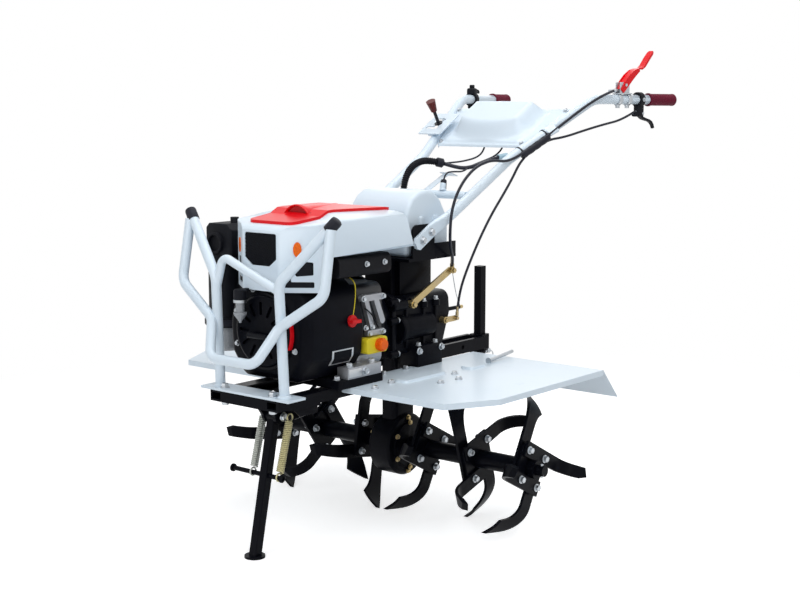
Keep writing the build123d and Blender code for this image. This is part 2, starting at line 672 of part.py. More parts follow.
def corner_plane(side):
    """The slanted corner's face: x runs back along it from its middle, y up on the left side."""
    back = Vector(CORNER_X - NOSE_X, side * (CORNER_Y - NOSE_HALF_Y), 0)
    middle = ((NOSE_X + CORNER_X) / 2, side * (NOSE_HALF_Y + CORNER_Y) / 2, 0)
    return Plane(origin=middle, x_dir=back, z_dir=back.cross(Vector(0, 0, side)))


def cut_nose():
    """Cut the nose's openings through the wall."""
    with BuildSketch(Plane.YZ.offset(NOSE_X)) as grille_hole:
        with BuildLine():
            cut_y = GRILLE_HALF_Y - GRILLE_CUT_Y
            cut_z = GRILLE_LOW + GRILLE_CUT_Z
            Polyline(
                (cut_y, GRILLE_LOW), (GRILLE_HALF_Y, cut_z), (GRILLE_HALF_Y, GRILLE_TOP),
                (-GRILLE_HALF_Y, GRILLE_TOP), (-GRILLE_HALF_Y, cut_z), (-cut_y, GRILLE_LOW), (cut_y, GRILLE_LOW),
            )
        make_face()
        fillet(grille_hole.vertices(), 5)
    extrude(grille_hole.sketch, amount=-OPENING_DEEP, mode=Mode.SUBTRACT)
    for side in (1, -1):
        with BuildSketch(corner_plane(side)) as corner_holes:
            with BuildLine():
                low = side * WINDOW_LOW
                rise = side * WINDOW_H
                Polyline(
                    (-18, low + rise / 3), (-7, low), (34, low + rise / 12), (34, low + rise * 0.9),
                    (-13, low + rise), (-18, low + rise / 3),
                )
            make_face()
            with BuildLine():
                slot = side * SLOT_LOW
                Polyline(
                    (-36, slot), (36, slot), (36, slot + side * 14), (-20, slot + side * 14),
                    (-20, slot + side * 26), (-36, slot + side * 26), (-36, slot),
                )
            make_face()
            fillet(corner_holes.vertices(), 3)
        extrude(corner_holes.sketch, amount=-OPENING_DEEP, mode=Mode.SUBTRACT)


# Hood: a thin moulded shell
with BuildPart() as hood_core:
    hood_form(HOOD_WALL, 40)
    block(HOOD_REAR_X, SKIRT_X - 5, -HOOD_REAR_Y, HOOD_REAR_Y, DECK_Z, DECK_Z + HOOD_WALL, Mode.SUBTRACT)

with BuildPart() as hood:
    hood_form(0, 0)
    add(hood_core.part, mode=Mode.SUBTRACT)
    cut_nose()
finished["hood"] = hood

# Red cover on the hood's crown, with its forward scoop
with BuildPart() as hood_solid:
    hood_form(0, 0)

with BuildPart() as hood_top_cover:
    hood_form(-COVER_T, 0)
    with BuildSketch(Plane.XY.offset(HOOD_SHOULDER_Z - 40)) as cover_plan:
        with BuildLine():
            Polyline(
                (COVER_REAR_X, -COVER_REAR_Y), (COVER_FRONT_X, -COVER_FRONT_Y), (COVER_FRONT_X, COVER_FRONT_Y),
                (COVER_REAR_X, COVER_REAR_Y), (COVER_REAR_X, -COVER_REAR_Y),
            )
        make_face()
        fillet(cover_plan.vertices(), EDGE_ROUND)
    extrude(amount=HOOD_TOP_Z / 2, mode=Mode.INTERSECT)
    scoop_low = HOOD_TOP_Z - 26
    with BuildSketch(Plane.YZ.offset(SCOOP_X)):
        with BuildLine():
            scoop_top = HOOD_TOP_Z + COVER_T + SCOOP_H
            Line((SCOOP_HALF_Y, scoop_low), (-SCOOP_HALF_Y, scoop_low))
            ThreePointArc((-SCOOP_HALF_Y, scoop_low), (0, scoop_top), (SCOOP_HALF_Y, scoop_low))
        make_face()
    with BuildSketch(Plane.YZ.offset(SCOOP_REAR_X)):
        with BuildLine():
            rear_y = SCOOP_HALF_Y * 0.8
            Line((rear_y, scoop_low), (-rear_y, scoop_low))
            ThreePointArc((-rear_y, scoop_low), (0, HOOD_TOP_Z + COVER_T), (rear_y, scoop_low))
        make_face()
    loft()
    add(hood_solid.part, mode=Mode.SUBTRACT)
finished["hood_top_cover"] = hood_top_cover

# Black liner behind the nose's openings
with BuildPart() as liner_core:
    hood_form(2 * HOOD_WALL, 40)

with BuildPart() as hood_grille:
    hood_form(HOOD_WALL, 0)
    add(liner_core.part, mode=Mode.SUBTRACT)
    block(SKIRT_X + 8, NOSE_X, -HOOD_REAR_Y, HOOD_REAR_Y, SLOT_LOW - 6, GRILLE_TOP + 6, Mode.INTERSECT)
finished["hood_grille"] = hood_grille

# Oval reflectors on the nose's slanted corners
with BuildPart() as reflectors:
    for side in (1, -1):
        with BuildSketch(corner_plane(side)):
            with Locations((-4, side * (NOSE_LOW_Z + 104))):
                Ellipse(10, 18)
        extrude(amount=3)
finished["reflectors"] = reflectors

# Air cleaner on the right: filter box, oil-bath body under it and the duct to the engine
CLEANER_X = 400.0
CLEANER_Y = -250.0
CLEANER_R = 44.0
CLEANER_LOW = CRANK_Z - 25.0
CLEANER_TOP = NOSE_LOW_Z + 144.0
with BuildPart() as air_cleaner:
    inlet_x = CLEANER_X + 37
    inlet_z = CLEANER_TOP - 50
    block(CLEANER_X - 80, inlet_x, CLEANER_Y - 34, CLEANER_Y + 62, CLEANER_TOP - 92, CLEANER_TOP)
    chamfer(air_cleaner.edges().filter_by(Axis.X).group_by(Axis.Z)[-1], 16)
    fillet(air_cleaner.edges().filter_by(Axis.Z), 8)
    along_x(inlet_x, inlet_x + 10, CLEANER_Y + 8, inlet_z, 27)
    along_x(inlet_x, inlet_x + 11, CLEANER_Y + 8, inlet_z, 21, Mode.SUBTRACT)
    rod((CLEANER_X - 7, CLEANER_Y + 30, CLEANER_TOP), (CLEANER_X - 7, CLEANER_Y + 30, CLEANER_TOP + 15), 11)
    rod((CLEANER_X, CLEANER_Y, CLEANER_LOW + 25), (CLEANER_X, CLEANER_Y, CLEANER_TOP - 80), CLEANER_R)
    rod((CLEANER_X, CLEANER_Y, CLEANER_LOW), (CLEANER_X, CLEANER_Y, CLEANER_LOW + 25), CLEANER_R + 8)
    block(CLEANER_X - 65, CLEANER_X - 5, CLEANER_Y + 50, COWL_RIGHT_Y, SIDE_LOW_Z - 46, SIDE_LOW_Z - 12)
finished["air_cleaner"] = air_cleaner

# Oil bowl under the air cleaner
with BuildPart() as air_cleaner_bowl:
    rod((CLEANER_X, CLEANER_Y, CLEANER_LOW - 63), (CLEANER_X, CLEANER_Y, CLEANER_LOW), CLEANER_R + 1)
    fillet(air_cleaner_bowl.edges().group_by(Axis.Z)[0], 12)
finished["air_cleaner_bowl"] = air_cleaner_bowl

# Fuel filter bowl, hung ahead of the starter from the fan housing
FILTER_X = 546.0
FILTER_Y = -46.0
FILTER_Z = CRANK_Z + 42.0
with BuildPart() as fuel_filter:
    hanger_z = CRANK_Z + STARTER_R
    rod((FILTER_X, FILTER_Y, FILTER_Z), (FILTER_X, FILTER_Y, FILTER_Z + 38), 15)
    fillet(fuel_filter.edges().group_by(Axis.Z)[0], 6)
    rod((FILTER_X, FILTER_Y, FILTER_Z + 38), (FILTER_X, FILTER_Y, hanger_z), 9)
    block(FAN_FRONT_X, FILTER_X + 6, FILTER_Y - 6, FILTER_Y + 6, hanger_z - 3, hanger_z + 3)
finished["fuel_filter"] = fuel_filter

# Bell housing, from the engine's round flange to the gearbox's square one
box_mid_z = (BOX_LOW_Z + BOX_TOP_Z) / 2
flange_mid_z = box_mid_z + FLANGE_OVER / 2
flange_h = BOX_TOP_Z - BOX_LOW_Z + FLANGE_OVER
with BuildPart() as bell_housing:
    with BuildSketch(Plane.YZ.offset(BELL_REAR_X + FLANGE_T)):
        with Locations((0, flange_mid_z)):
            RectangleRounded(2 * BOX_HALF_Y, flange_h - FLANGE_OVER, BOX_ROUND * 2)
    with BuildSketch(Plane.YZ.offset(ENGINE_REAR_X - FLANGE_T)):
        with Locations((0, CRANK_Z)):
            RectangleRounded(2 * BELL_FRONT_R - 20, 2 * BELL_FRONT_R - 20, BELL_FRONT_R - 14)
    loft()
    along_x(ENGINE_REAR_X - FLANGE_T, ENGINE_REAR_X, 0, CRANK_Z, BELL_FRONT_R)
    with BuildSketch(Plane.YZ.offset(BELL_REAR_X)):
        with Locations((0, flange_mid_z)):
            RectangleRounded(2 * (BOX_HALF_Y + FLANGE_OVER), flange_h, BOX_ROUND)
    extrude(amount=FLANGE_T)
finished["bell_housing"] = bell_housing

# Gearbox: a ribbed casting that slopes in at its lower rear, on two feet
CLUTCH_X = 62.0
with BuildPart() as gearbox:
    with BuildSketch(Plane.XZ):
        with BuildLine():
            Polyline(
                (BELL_REAR_X, BOX_LOW_Z), (BELL_REAR_X, BOX_TOP_Z), (BOX_REAR_X, BOX_TOP_Z),
                (BOX_REAR_X - 6, BOX_TOP_Z - 60), (BOX_REAR_X + 30, BOX_LOW_Z), (BELL_REAR_X, BOX_LOW_Z),
            )
        make_face()
    extrude(amount=BOX_HALF_Y, both=True)
    fillet(gearbox.edges().filter_by(Axis.X), BOX_ROUND)
    along_x(BOX_REAR_X - 20, BOX_REAR_X + 20, 0, BOX_TOP_Z - 62, 48)
    for side in (1, -1):
        block(-BOX_FOOT_X, BOX_FOOT_X, side * 50, side * BOX_FOOT_Y, mount_low, BOX_LOW_Z + 24)
        for rib_x in (BOX_REAR_X + 60, 0, BELL_REAR_X - 52):
            block(rib_x - 4, rib_x + 4, side * 50, side * (BOX_HALF_Y + 7), BOX_LOW_Z + 22, BOX_TOP_Z - 30)
    along_y(CLUTCH_X, 0, BOX_HALF_Y + 4, BOX_TOP_Z - 20, 17)
finished["gearbox"] = gearbox

# Handle bracket: post, tray and two ears with the handlebars' bolts
bar_slope = Vector(BAR_PTS[1]) - Vector(BAR_PTS[0])
BOLT_STEPS = (16, 56)
bolt_places = [Vector(BAR_PTS[0]) + bar_slope * (step / bar_slope.length) for step in BOLT_STEPS]
ear_mid_x = (bolt_places[0].X + bolt_places[1].X) / 2
with BuildPart() as handle_bracket:
    block(ear_mid_x - 36, ear_mid_x + 40, -45, 45, BOX_TOP_Z, BRACKET_Z)
    block(BATTERY_REAR_X, BATTERY_FRONT_X + 20, -EAR_IN_Y - EAR_T, EAR_IN_Y + EAR_T, BRACKET_Z, BRACKET_TOP)
    for side in (1, -1):
        with BuildSketch(Plane.XZ.offset(-side * EAR_IN_Y)) as ear:
            with Locations((ear_mid_x, BRACKET_Z + EAR_H / 2)):
                Rectangle(92, EAR_H)
            fillet(ear.vertices().group_by(Axis.Y)[-1], 20)
        extrude(amount=-side * EAR_T)
        for place in bolt_places:
            along_y(place.X, side * EAR_IN_Y, side * (EAR_IN_Y + EAR_T + BAR_FLAT_T + 9), place.Z, BOLT_R)
finished["handle_bracket"] = handle_bracket

# Handlebars: a bent tube each, flattened and drilled at its low end
bar_end = (Vector(BAR_PTS[3]) - Vector(BAR_PTS[2])).normalized()
tube_low = Vector(BAR_PTS[0]) + bar_slope * (BAR_FLAT_LEN * 0.72 / bar_slope.length)
tube_pts = [tuple(tube_low), BAR_PTS[1], BAR_PTS[2], tuple(Vector(BAR_PTS[3]) - bar_end * 6)]
flat_y = EAR_IN_Y + EAR_T + RUN_GAP
slope_xz = Vector(bar_slope.X, 0, bar_slope.Z).normalized()


def add_handlebar(side):
    """A bent bar and its flat with two cross holes."""
    bent_tube(tube_pts if side > 0 else flip(tube_pts), BAR_BENDS, BAR_R)
    start = Vector(BAR_PTS[0][0], side * flat_y, BAR_PTS[0][2]) - slope_xz * 12
    with BuildSketch(Plane(origin=start, x_dir=slope_xz, z_dir=(0, side, 0))) as flat:
        with Locations((BAR_FLAT_LEN / 2, 0)):
            Rectangle(BAR_FLAT_LEN, BAR_FLAT_H)
        chamfer(flat.vertices().group_by(Axis.X)[0], 9)
    extrude(flat.sketch, amount=BAR_FLAT_T)
    for place in bolt_places:
        along_y(place.X, -BAR_PTS[3][1], BAR_PTS[3][1], place.Z, BOLT_R + RUN_GAP / 2, Mode.SUBTRACT)


with BuildPart() as handlebar_left:
    add_handlebar(1)
finished["handlebar_left"] = handlebar_left

with BuildPart() as handlebar_right:
    add_handlebar(-1)
finished["handlebar_right"] = handlebar_right

# Ribbed hand grips, blind sleeves over the bars' ends
GRIP_RIBS = 5
with BuildPart() as grips:
    for points in (BAR_PTS, flip(BAR_PTS)):
        end = Vector(points[3])
        out = (end - Vector(points[2])).normalized()
        rod(end - out * GRIP_LEN, end, GRIP_R - 1.5)
        for rib in range(GRIP_RIBS + 1):
            place = end - out * (4 + (GRIP_LEN - 8) * rib / GRIP_RIBS)
            rod(place - out * 4, place + out * 4, GRIP_R)
        rod(end - out * (GRIP_LEN + 1), end - out * GRIP_END, BAR_R + RUN_GAP / 2, Mode.SUBTRACT)
finished["grips"] = grips

# Cross tube between the handlebars
TIE_AT = 0.55
cross = Vector(BAR_PTS[0]) + bar_slope * TIE_AT
with BuildPart() as handlebar_tie:
    tie_half = cross.Y - BAR_R - 2 * RUN_GAP
    along_y(cross.X, -tie_half, tie_half, cross.Z, TIE_R)
finished["handlebar_tie"] = handlebar_tie

# Battery box, a domed loaf on the tray with two ribs on each end
battery_waist = BATTERY_TOP - 93
with BuildPart() as battery_box:
    with BuildSketch(Plane.XZ):
        with BuildLine():
            Polyline(
                (BATTERY_REAR_X, battery_waist), (BATTERY_REAR_X, BRACKET_TOP), (BATTERY_FRONT_X, BRACKET_TOP),
                (BATTERY_FRONT_X, battery_waist + 30),
            )
            ThreePointArc((BATTERY_FRONT_X, battery_waist + 30), (56, BATTERY_TOP - 17), (0, BATTERY_TOP))
            ThreePointArc((0, BATTERY_TOP), (-62, BATTERY_TOP - 31), (BATTERY_REAR_X, battery_waist))
        make_face()
    extrude(amount=BATTERY_HALF_Y, both=True)
    for side in (1, -1):
        for rib_x in (-34, 26):
            block(rib_x - 8, rib_x + 8, side * (BATTERY_HALF_Y - 4), side * (BATTERY_HALF_Y + 5), BRACKET_TOP,
                  battery_waist + 24)
finished["battery_box"] = battery_box

# Console: a plate between the handlebars and the hump over its wiring
console_low = Vector(CONSOLE_LOW[0], 0, CONSOLE_LOW[1])
console_high = Vector(CONSOLE_HIGH[0], 0, CONSOLE_HIGH[1])
up_slope = (console_high - console_low).normalized()
console_len = (console_high - console_low).length
console_plane = Plane(origin=console_low, x_dir=up_slope, z_dir=Vector(0, 1, 0).cross(up_slope))
hump_top = Plane(
    origin=console_low + up_slope * console_len * 0.62 + console_plane.z_dir * HUMP_H,
    x_dir=(up_slope + console_plane.z_dir * 0.1).normalized(),
    z_dir=(console_plane.z_dir - up_slope * 0.1).normalized(),
)
with BuildPart() as console:
    with BuildSketch(console_plane):
        with BuildLine():
            Polyline(
                (0, -CONSOLE_LOW_Y), (console_len, -CONSOLE_HIGH_Y), (console_len, CONSOLE_HIGH_Y),
                (0, CONSOLE_LOW_Y), (0, -CONSOLE_LOW_Y),
            )
        make_face()
    extrude(amount=3)
    with BuildSketch(console_plane):
        with Locations((console_len / 2, 0)):
            RectangleRounded(console_len - 24, 2 * CONSOLE_LOW_Y - 40, 30)
    with BuildSketch(hump_top):
        RectangleRounded(console_len * 0.42, 2 * CONSOLE_LOW_Y - 130, 24)
    loft()
finished["console"] = console

# Gear gate over the right handlebar, slotted for its gears
gate_mid = Vector(GATE_X, GATE_Y, GATE_Z)
gate_plane = Plane(origin=gate_mid, x_dir=up_slope, z_dir=console_plane.z_dir)
with BuildPart() as gear_gate:
    with BuildSketch(gate_plane):
        RectangleRounded(GATE_LEN, GATE_W, 6)
        SlotOverall(60, 16, mode=Mode.SUBTRACT)
        for slot_x in (-22, 22):
            with Locations((slot_x, 10)):
                SlotOverall(44, 12, rotation=90, mode=Mode.SUBTRACT)
    extrude(amount=3)
    for step in (10 - GATE_LEN / 2, GATE_LEN / 2 - 10):
        with BuildSketch(gate_plane):
            with Locations((step, 0)):
                Rectangle(14, 14)
        extrude(amount=-GATE_LEG)
finished["gear_gate"] = gear_gate

# Gear lever through the gate, with a tapered knob
with BuildPart() as gear_lever:
    lever_low = gate_mid - gate_plane.z_dir * 6
    lever_top = gate_mid + gate_plane.z_dir * 46
    rod(lever_low, lever_top, 5)
    rod(gate_mid + gate_plane.z_dir * 3, gate_mid + gate_plane.z_dir * 6, 12)
    with BuildSketch(Plane(origin=lever_top, z_dir=gate_plane.z_dir)):
        Circle(9)
    extrude(amount=34, taper=-9)
finished["gear_lever"] = gear_lever

# Clutch arm on the gearbox's left side, and the shorter reverse arm behind it
arm_low = Vector(CLUTCH_X, BOX_HALF_Y + 4, BOX_TOP_Z - 20)
arm_high = Vector(-103, BOX_HALF_Y + 4, BOX_TOP_Z + 55)
arm_in_y = BOX_HALF_Y + 10
reverse_at = Vector(BOX_REAR_X + 30, BOX_HALF_Y, BOX_TOP_Z - 80)
REVERSE_LEN = 48.0
PEG_R = 6.0
REVERSE_PEG_R = 5.0
with BuildPart() as clutch_arm:
    with BuildSketch(Plane.XZ.offset(-arm_in_y)):
        with Locations(((arm_low.X + arm_high.X) / 2, (arm_low.Z + arm_high.Z) / 2)):
            SlotCenterToCenter(
                hypot(arm_high.X - arm_low.X, arm_high.Z - arm_low.Z), 18,
                rotation=degrees(atan2(arm_high.Z - arm_low.Z, arm_high.X - arm_low.X)),
            )
    extrude(amount=-6)
    along_y(arm_low.X, arm_low.Y, arm_in_y + 10, arm_low.Z, 10)
    along_y(arm_high.X, arm_in_y, arm_in_y + 14, arm_high.Z, PEG_R)
    along_y(reverse_at.X, reverse_at.Y, reverse_at.Y + 16, reverse_at.Z, 9)
    with BuildSketch(Plane.XZ.offset(-reverse_at.Y - 10)):
        with Locations((reverse_at.X - REVERSE_LEN / 2, reverse_at.Z)):
            SlotCenterToCenter(REVERSE_LEN, 15)
    extrude(amount=-4)
    along_y(reverse_at.X - REVERSE_LEN, reverse_at.Y + 2, reverse_at.Y + 22, reverse_at.Z, REVERSE_PEG_R)
finished["clutch_arm"] = clutch_arm

# Oil filler boss
with BuildPart() as oil_filler:
    block(ENGINE_REAR_X + 9, CASE_FRONT_X - 6, CASE_HALF_Y, FOOT_OUT_Y - 6, CRANK_Z - 74, CRANK_Z - 34)
    fillet(oil_filler.edges().filter_by(Axis.Y), 9)
finished["oil_filler"] = oil_filler

# Its cap, and the winged cap on the fan housing's left side
with BuildPart() as filler_caps:
    along_y(ENGINE_REAR_X + 44, FOOT_OUT_Y - 6, FOOT_OUT_Y + 14, CRANK_Z - 52, 15)
    fillet(filler_caps.edges().group_by(Axis.Y)[-1], 4)
    cap_x = CASE_FRONT_X + 45
    cap_z = CRANK_Z + 18
    along_y(cap_x, FAN_R - 3, FAN_R + 6, cap_z, 14)
    block(cap_x - 16, cap_x + 16, FAN_R + 4, FAN_R + 18, cap_z - 4, cap_z + 4)
    along_x(CASE_FRONT_X, FAN_FRONT_X, 0, CRANK_Z, FAN_R + RUN_GAP / 3, Mode.SUBTRACT)
finished["filler_caps"] = filler_caps

# Hitch: two arms from the chassis to a square socket
half = DEPTH_SIDE / 2 + SLIDE_GAP
wall = half + SOCKET_WALL
with BuildPart() as hitch:
    block(SOCKET_X - wall, SOCKET_X + wall, -wall, wall, SOCKET_LOW, SOCKET_TOP)
    fillet(hitch.edges().filter_by(Axis.Z), 5)
    arm_start = SOCKET_X + wall - 6
    for side in (1, -1):
        block(arm_start, RAIL_REAR_X, side * HITCH_IN_Y, side * HITCH_OUT_Y, HITCH_LOW, HITCH_TOP)
    block(arm_start, arm_start + 12, -HITCH_OUT_Y, HITCH_OUT_Y, HITCH_LOW, HITCH_TOP)
    block(RAIL_REAR_X - 12, RAIL_REAR_X, -HITCH_OUT_Y - 20, HITCH_OUT_Y + 20, RAIL_LOW, BOX_LOW_Z - 4)
    block(SOCKET_X - half, SOCKET_X + half, -half, half, SOCKET_LOW - 1, SOCKET_TOP + 1, Mode.SUBTRACT)
    along_y(TOW_X, -HITCH_OUT_Y - 1, HITCH_OUT_Y + 1, TOW_Z, TOW_R, Mode.SUBTRACT)
finished["hitch"] = hitch

# Depth bar sliding in the socket
with BuildPart() as depth_bar:
    side_x = DEPTH_SIDE / 2
    block(SOCKET_X - side_x, SOCKET_X + side_x, -side_x, side_x, DEPTH_LOW, DEPTH_TOP)
    chamfer(depth_bar.edges().group_by(Axis.Z)[0], 4)
finished["depth_bar"] = depth_bar


def fender_plan(side, grow, mode=Mode.ADD):
    """The guard's outline from above, its cut front corner included."""
    outer = side * (FENDER_OUT_Y + grow)
    front = FENDER_FRONT_X + grow
    inner = side * FENDER_IN_Y
    with BuildLine() as outline:
        Polyline(
            (FENDER_REAR_X, inner), (front, inner), (front, side * (FENDER_NOTCH_Y + grow / 2)),
            (FENDER_NOTCH_X + grow / 2, outer), (FENDER_REAR_X, outer), (FENDER_REAR_X, inner),
        )
    make_face(outline.edges(), mode=mode)


def add_fender(side):
    """Sheet guard with a turned-down lip, two pressed ribs and a flap that droops at the rear."""
    with BuildSketch(Plane.XY.offset(RAIL_TOP)) as sheet:
        fender_plan(side, 0)
    extrude(sheet.sketch, amount=SHEET)
    rail_out = RAIL_IN_Y + RAIL_W + 7
    with BuildSketch(Plane.XY.offset(RAIL_TOP)) as lip:
        fender_plan(side, 0)
        fender_plan(side, -SHEET, Mode.SUBTRACT)
        with Locations((0, side * rail_out / 2)):
            Rectangle(2 * RAIL_FRONT_X, rail_out, mode=Mode.SUBTRACT)
    extrude(lip.sketch, amount=-FENDER_LIP)
    with BuildSketch(Plane.XY.offset(RAIL_TOP + SHEET)) as ribs:
        with Locations((150, side * 200)):
            RectangleRounded(170, 44, 12)
        with Locations((-45, side * 222)):
            RectangleRounded(70, 44, 14)
    extrude(ribs.sketch, amount=RIB_H, taper=30)
    low_x = FENDER_REAR_X - FLAP_RUN
    low_z = RAIL_TOP - FLAP_DROP
    with BuildSketch(Plane.XZ.offset(-side * FLAP_IN_Y)) as droop:
        with BuildLine():
            Polyline(
                (FENDER_REAR_X, RAIL_TOP), (FENDER_REAR_X, RAIL_TOP + SHEET), (low_x, low_z + SHEET),
                (low_x, low_z), (FENDER_REAR_X, RAIL_TOP),
            )
        make_face()
    extrude(droop.sketch, amount=-side * (FENDER_OUT_Y - FLAP_IN_Y))
    with BuildSketch(Plane.XY.offset(low_z - 1)) as slant:
        with BuildLine():
            start = (FENDER_REAR_X - 1, side * (FLAP_IN_Y - 1))
            Polyline(start, (low_x - 1, side * (FLAP_IN_Y + FLAP_RUN / 3)), (low_x - 1, side * (FLAP_IN_Y - 1)), start)
        make_face()
    extrude(slant.sketch, amount=FLAP_DROP, mode=Mode.SUBTRACT)


with BuildPart() as fender_left:
    add_fender(1)
finished["fender_left"] = fender_left

with BuildPart() as fender_right:
    add_fender(-1)
finished["fender_right"] = fender_right

# Red clutch lever on the left bar: a clamp, a bent shank and a thicker hand end
lever_at = Vector(BAR_PTS[2]) + bar_end * 120
shank = [lever_at + Vector(0, 0, 20), lever_at + Vector(-50, 12, 80), lever_at + Vector(-112, 26, 128)]
with BuildPart() as clutch_lever:
    with BuildSketch(Plane(origin=lever_at, x_dir=(0, 0, 1), z_dir=bar_end)):
        RectangleRounded(48, 38, 8)
        Circle(BAR_R + RUN_GAP, mode=Mode.SUBTRACT)
    extrude(amount=20, both=True)
    bent_tube([tuple(point) for point in shank], [30], 9)
    rod(shank[1] + (shank[2] - shank[1]) * 0.45, shank[2], 12)
finished["clutch_lever"] = clutch_lever

# Black hand levers under the bars, one a side
LEVER_STEPS = ((1, 190.0), (-1, 70.0))
with BuildPart() as hand_levers:
    for side, step in LEVER_STEPS:
        out = Vector(bar_end.X, side * bar_end.Y, bar_end.Z)
        place = Vector(BAR_PTS[2][0], side * BAR_PTS[2][1], BAR_PTS[2][2]) + out * step
        with BuildSketch(Plane(origin=place, x_dir=(0, 0, 1), z_dir=out)):
            Circle(BAR_R + 8)
            Circle(BAR_R + RUN_GAP, mode=Mode.SUBTRACT)
        extrude(amount=9, both=True)
        reach = place + Vector(0, 0, -BAR_R - 5)
        bent_tube([tuple(reach), tuple(reach + out * 12 + Vector(0, 0, -34)),
                   tuple(reach + out * 62 + Vector(0, 0, -56))], [22], 6.5)
finished["hand_levers"] = hand_levers

# Control cables: tied along the left bar's outer side, then free to their arms
CABLE_R = 4.0
THIN_R = 3.5
upper_leg = Vector(BAR_PTS[2]) - Vector(BAR_PTS[1])
leg_dir = upper_leg.normalized()
leg_out = (Vector(0, 1, 0) - leg_dir * leg_dir.Y).normalized()
leg_low = leg_dir.cross(leg_out)


def beside_bar(at, radius, low):
    """A point on the upper leg's outer side, low degrees under its middle."""
    turn = radians(low)
    away = leg_out * cos(turn) + leg_low * sin(turn)
    return tuple(Vector(BAR_PTS[1]) + upper_leg * at + away * (BAR_R + radius + RUN_GAP))


with BuildPart() as clutch_cable:
    cord(
        [(-664, 262, BRACKET_TOP + 434), (-610, 266, BRACKET_TOP + 424), (-545, 252, BRACKET_TOP + 396),
         (-475, 228, BRACKET_TOP + 352), beside_bar(0.38, CABLE_R, 0), beside_bar(0.12, CABLE_R, 0),
         (-262, 173, BRACKET_TOP + 240), (-198, 167, BRACKET_TOP + 248), (-136, 163, BRACKET_TOP + 234),
         (-86, 162, BRACKET_TOP + 204), (-46, 163, BRACKET_TOP + 164), (-18, 167, BRACKET_TOP + 116),
         (-14, 166, BRACKET_TOP + 64), (-34, 152, BRACKET_TOP + 24), (-64, 137, BRACKET_TOP - 5),
         (-88, 119, BRACKET_TOP - 24), (arm_high.X, arm_in_y + 10.5, arm_high.Z + PEG_R + CABLE_R - RUN_GAP)], CABLE_R)
finished["clutch_cable"] = clutch_cable

with BuildPart() as reverse_cable:
    cord(
        [(-762, 274, BRACKET_TOP + 372), (-700, 270, BRACKET_TOP + 350), (-620, 258, BRACKET_TOP + 338),
         (-545, 240, BRACKET_TOP + 322), (-475, 219, BRACKET_TOP + 304), beside_bar(0.38, THIN_R, 40),
         beside_bar(0.1, THIN_R, 40), (-290, 163, BRACKET_TOP + 180), (-215, 139, BRACKET_TOP + 76),
         (-150, 112, BRACKET_TOP - 66), (-131, 105, BRACKET_TOP - 136),
         (reverse_at.X - REVERSE_LEN, reverse_at.Y + 18, reverse_at.Z + REVERSE_PEG_R + 2 * RUN_GAP)], THIN_R)
finished["reverse_cable"] = reverse_cable

# Wiring: a corrugated hose from the battery box, then a thinner lead to the console's underside
LOOM_R = 8.5
LEAD_R = 5.5
with BuildPart() as wiring_loom:
    hose_end = Vector(-209, -8, BRACKET_TOP + 233)
    lead_on = Vector(-215, 22, BRACKET_TOP + 225)
    cord(
        [(-54, -26, BRACKET_TOP + 155.8), (-62, -28, BRACKET_TOP + 190), (-88, -31, BRACKET_TOP + 222),
         (-130, -33, BRACKET_TOP + 240), (-176, -30, BRACKET_TOP + 242), tuple(hose_end)], LOOM_R)
    cord(
        [tuple(hose_end), tuple(lead_on), (-222, 58, BRACKET_TOP + 220), (-240, 90, BRACKET_TOP + 230),
         (-274, 112, BRACKET_TOP + 245), (-322, 122, BRACKET_TOP + 253), (-370, 126, BRACKET_TOP + 256),
         (-398, 127, BRACKET_TOP + 272), (-402, 127, BRACKET_TOP + 296)], LEAD_R)
finished["wiring_loom"] = wiring_loom

# Move every piece so that the footprint's middle is the origin, then write it
spans = [builder.part.bounding_box() for builder in finished.values()]
middle_x = (min(span.min.X for span in spans) + max(span.max.X for span in spans)) / 2
to_middle = Location((-middle_x, 0, 0))
for node, builder in finished.items():
    builder.part.move(to_middle)
    builder.part.label = node
    export_step(builder.part, f"parts/{node}.step")
print("axle x", -middle_x, "axle z", AXLE_Z, "rail top", RAIL_TOP)
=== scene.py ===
import json
import math

import bmesh
import bpy
from mathutils import Matrix, Vector


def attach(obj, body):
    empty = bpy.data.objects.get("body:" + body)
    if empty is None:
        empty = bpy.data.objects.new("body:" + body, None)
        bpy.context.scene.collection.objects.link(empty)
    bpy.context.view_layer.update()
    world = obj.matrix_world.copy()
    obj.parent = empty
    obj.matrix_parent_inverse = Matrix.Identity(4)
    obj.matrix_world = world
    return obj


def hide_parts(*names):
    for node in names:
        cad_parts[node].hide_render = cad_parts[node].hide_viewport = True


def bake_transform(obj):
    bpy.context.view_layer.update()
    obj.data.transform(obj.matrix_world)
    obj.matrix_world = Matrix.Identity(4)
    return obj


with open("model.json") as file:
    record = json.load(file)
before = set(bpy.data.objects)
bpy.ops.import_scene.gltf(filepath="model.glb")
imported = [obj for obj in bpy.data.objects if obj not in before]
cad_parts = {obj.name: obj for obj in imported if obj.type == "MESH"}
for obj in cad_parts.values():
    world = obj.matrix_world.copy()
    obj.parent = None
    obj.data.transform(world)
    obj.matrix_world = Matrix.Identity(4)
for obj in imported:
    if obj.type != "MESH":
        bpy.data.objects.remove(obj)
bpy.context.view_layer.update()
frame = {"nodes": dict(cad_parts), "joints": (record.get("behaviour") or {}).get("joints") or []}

# Chassis: two folded channels, the engine's plate, the stand's bracket, the handle bracket and the hitch.
# Welded mild steel under black satin enamel, with a fine orange peel and a little dust.


